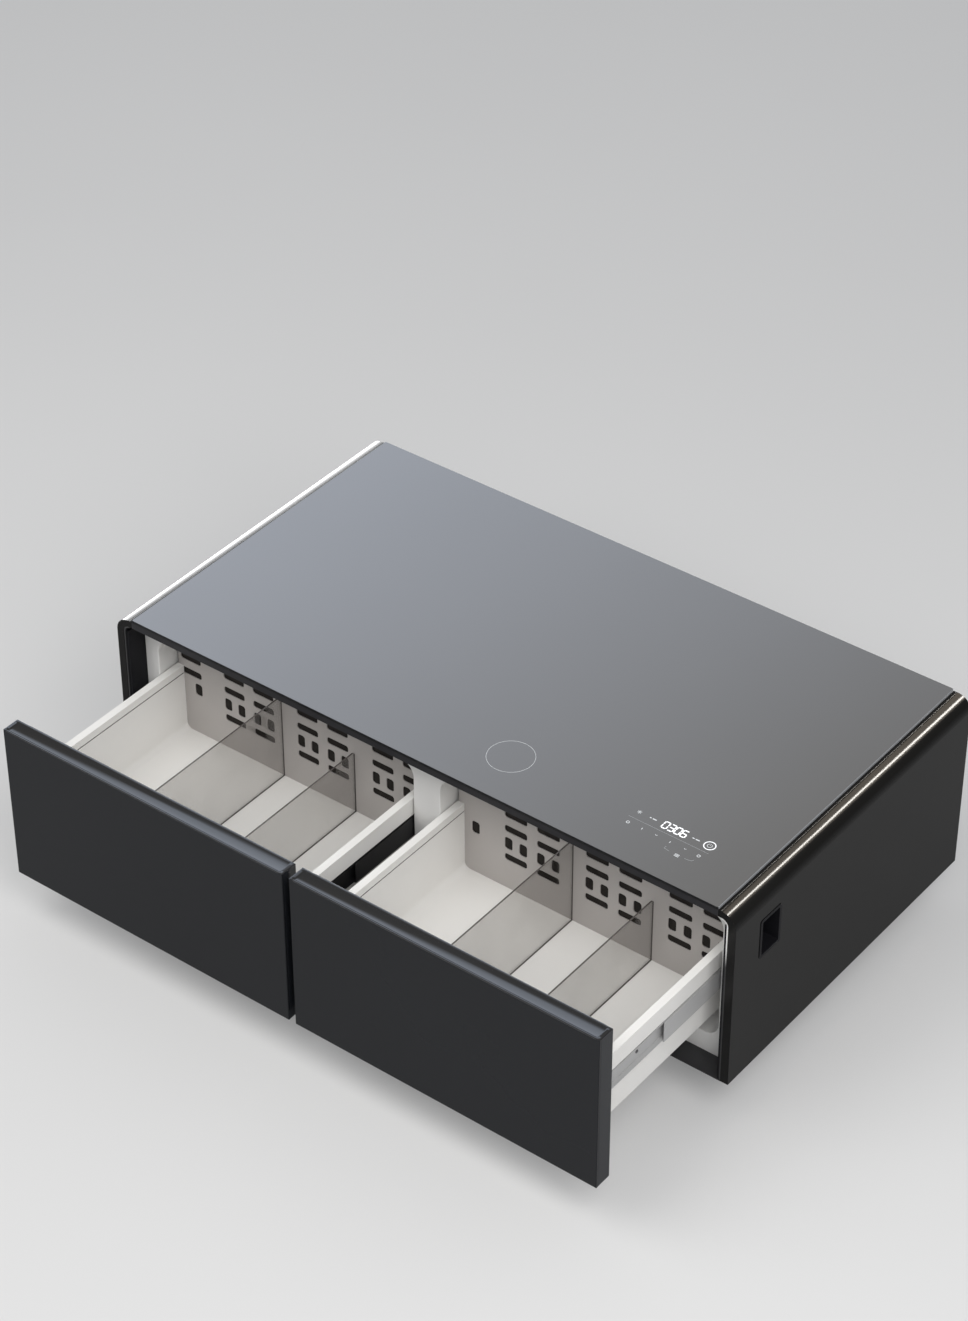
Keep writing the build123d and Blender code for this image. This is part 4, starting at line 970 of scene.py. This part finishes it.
def joint_beads(materials):
    """Half-round bead along each side cover's inner edge, beside the glass; the left one is pale grey, a
    painted highlight.
    """
    glass_low, glass_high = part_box("glass_top")
    # The left bead takes the painted highlight, the right one the shell's dark finish
    for side, edge, out, material in (
        ("left", glass_low.x, -1, "highlit_bead"),
        ("right", glass_high.x, 1, "gunmetal_shell"),
    ):
        low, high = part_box(f"{side}_side_panel")
        centre = edge + out * BEAD_OFFSET

        def build(work):
            corners = []
            for step in range(BEAD_STEPS + 1):
                angle = math.pi * step / BEAD_STEPS
                reach = BEAD_RADIUS * math.cos(angle)
                corners.append((centre + reach, high.z + BEAD_RISE * math.sin(angle)))
            corners += [(centre + reach, high.z - BEAD_SINK) for reach in (-BEAD_RADIUS, BEAD_RADIUS)]
            sweep_y(work, corners, low.y + BEAD_END_GAP, high.y - BEAD_END_GAP)

        smooth(mesh_piece(f"{side}_joint_bead", build, "cabinet", materials[material]))


def foot_pads(materials):
    """Soft rings round the soles of the levelling feet."""
    low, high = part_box("levelling_feet")
    reach_x = high.x - FOOT_RADIUS
    places = [(0.0, 0.0)]
    for side in (-1, 1):
        places += [(side * reach_x, low.y + FOOT_RADIUS), (side * reach_x, high.y - FOOT_RADIUS)]

    def build(work):
        for place in places:
            ring(work, place, FOOT_RADIUS - PAD_INSET, PAD_WIDTH, 0.0, PAD_HEIGHT, steps=64)

    smooth(mesh_piece("foot_pads", build, "cabinet", materials["grommet_rubber"]))


def add_area(name, place, target, size, energy, colour=(1, 1, 1), shown_in=(), spread=math.pi):
    """A soft lamp that lights the object, or one that only shows as a reflection in the named pieces."""
    lamp = bpy.data.lights.new(name, "AREA")
    lamp.shape = "RECTANGLE"
    lamp.size, lamp.size_y = size
    lamp.energy = energy
    lamp.color = colour
    lamp.spread = spread
    made = bpy.data.objects.new(name, lamp)
    scene.collection.objects.link(made)
    made.location = place
    made.rotation_euler = (Vector(target) - Vector(place)).to_track_quat("-Z", "Y").to_euler()
    made.visible_camera = False
    made.visible_diffuse = not shown_in
    made.visible_glossy = bool(shown_in)
    if shown_in:
        receivers = bpy.data.collections.new(f"{name}_receivers")
        for piece in shown_in:
            receivers.objects.link(scene.objects[piece])
        made.light_linking.receiver_collection = receivers


def lights():
    """Soft key from the front left, fill from the right, and the strips that the rounded edges mirror."""
    left = (nodes["left_side_panel"].name,)
    right = (nodes["right_side_panel"].name, "right_joint_bead")
    add_area(
        "key", place=(-1.2, -2.3, 3.9), target=(0, -0.3, 0.3), size=(3.0, 3.0), energy=72,
        colour=(1.0, 0.985, 0.96),
    )
    add_area(
        "fill", place=(2.5, -1.8, 3.1), target=(0, -0.4, 0.3), size=(2.2, 2.2), energy=76,
        colour=(1.0, 0.985, 0.97),
    )
    add_area(
        "left_edge_strip", place=(-1.57, 0.755, 0.66), target=(-0.64, 0, 0.46), size=(0.95, 1.20), energy=14,
        shown_in=left, spread=math.radians(80),
    )
    add_area(
        "right_edge_strip", place=(1.12, 1.9, 2.75), target=(0.64, 0, 0.44), size=(0.40, 2.6), energy=320,
        colour=(1.0, 0.96, 0.90), shown_in=right,
    )
    add_area(
        "right_edge_glow", place=(0.80, 2.0, 2.90), target=(0.64, 0, 0.44), size=(2.3, 3.0), energy=130,
        colour=(1.0, 0.86, 0.70), shown_in=right,
    )


def world():
    """Even pale light; what the glass mirrors brightens to the left and towards the horizon."""
    made = bpy.data.worlds.new("studio")
    scene.world = made
    made.use_nodes = True
    tree = made.node_tree
    tree.nodes.clear()
    output = tree.nodes.new("ShaderNodeOutputWorld")
    coordinates = tree.nodes.new("ShaderNodeTexCoord")
    slope = tree.nodes.new("ShaderNodeVectorMath")
    slope.operation = "DOT_PRODUCT"
    slope.inputs[1].default_value = SKY_SLOPE
    link(tree, coordinates, "Generated", slope, 0)
    share = add(tree, "ShaderNodeMapRange", From_Min=SKY_LIMITS[0], From_Max=SKY_LIMITS[1])
    link(tree, slope, "Value", share, "Value")
    sky = tree.nodes.new("ShaderNodeValToRGB")
    sky.color_ramp.elements[0].color = SKY_DARK
    sky.color_ramp.elements[1].color = SKY_BRIGHT
    link(tree, share, "Result", sky, "Fac")
    mirrored = add(tree, "ShaderNodeBackground", Strength=SKY_STRENGTH)
    link(tree, sky, "Color", mirrored, "Color")
    even = add(tree, "ShaderNodeBackground", Color=EVEN_COLOUR, Strength=EVEN_STRENGTH)
    rays = tree.nodes.new("ShaderNodeLightPath")
    mix = mix_shaders(tree, rays, "Is Glossy Ray", even, mirrored)
    link(tree, mix, "Shader", output, "Surface")


def floor():
    """Pale floor under the table, which glows a little where the camera sees it."""
    work = bmesh.new()
    bmesh.ops.create_grid(work, x_segments=4, y_segments=4, size=FLOOR_REACH)
    mesh = bpy.data.meshes.new("floor")
    work.to_mesh(mesh)
    work.free()
    made = bpy.data.objects.new("floor", mesh)
    scene.collection.objects.link(made)
    pale = finish_material(
        "pale_floor", FLOOR_COLOUR, 0.8, tone=0.01, tone_scale=1, grain=0.02, Specular_IOR_Level=0.0,
    )
    tree = pale.node_tree
    shader = find(tree, "BSDF_PRINCIPLED")
    glow = add(tree, "ShaderNodeEmission", Color=(1, 1, 1, 1), Strength=FLOOR_GLOW)
    both = tree.nodes.new("ShaderNodeAddShader")
    tree.links.new(shader.outputs["BSDF"], both.inputs[0])
    tree.links.new(glow.outputs["Emission"], both.inputs[1])
    rays = tree.nodes.new("ShaderNodeLightPath")
    mix = mix_shaders(tree, rays, "Is Camera Ray", shader, both)
    link(tree, mix, "Shader", find(tree, "OUTPUT_MATERIAL"), "Surface")
    mesh.materials.append(pale)


def camera():
    """The photograph's view."""
    data = bpy.data.cameras.new("camera")
    data.lens = CAMERA_LENS
    data.clip_end = CAMERA_REACH
    made = bpy.data.objects.new("camera", data)
    scene.collection.objects.link(made)
    back = Vector((
        math.sin(CAMERA_AZIMUTH) * math.cos(CAMERA_ELEVATION),
        -math.cos(CAMERA_AZIMUTH) * math.cos(CAMERA_ELEVATION),
        math.sin(CAMERA_ELEVATION),
    ))
    right = Vector((math.cos(CAMERA_AZIMUTH), math.sin(CAMERA_AZIMUTH), 0))
    up = back.cross(right)
    side = right * math.cos(CAMERA_ROLL) + up * math.sin(CAMERA_ROLL)
    top = up * math.cos(CAMERA_ROLL) - right * math.sin(CAMERA_ROLL)
    made.matrix_world = Matrix((
        (side.x, top.x, back.x, CAMERA_PLACE.x),
        (side.y, top.y, back.y, CAMERA_PLACE.y),
        (side.z, top.z, back.z, CAMERA_PLACE.z),
        (0, 0, 0, 1),
    ))
    scene.camera = made


materials = make_materials()
dress_nodes(materials)
for softened, width in SOFTENED.items():
    soften(softened, width)
glass_marks(materials)
back_screws(materials)
rail_screws(materials)
groove_shade_strips(materials)
slot_shade_sheets(materials)
pull_linings(materials)
contacts(materials)
joint_beads(materials)
foot_pads(materials)
lights()
world()
floor()
camera()
scene.view_settings.view_transform = "Standard"
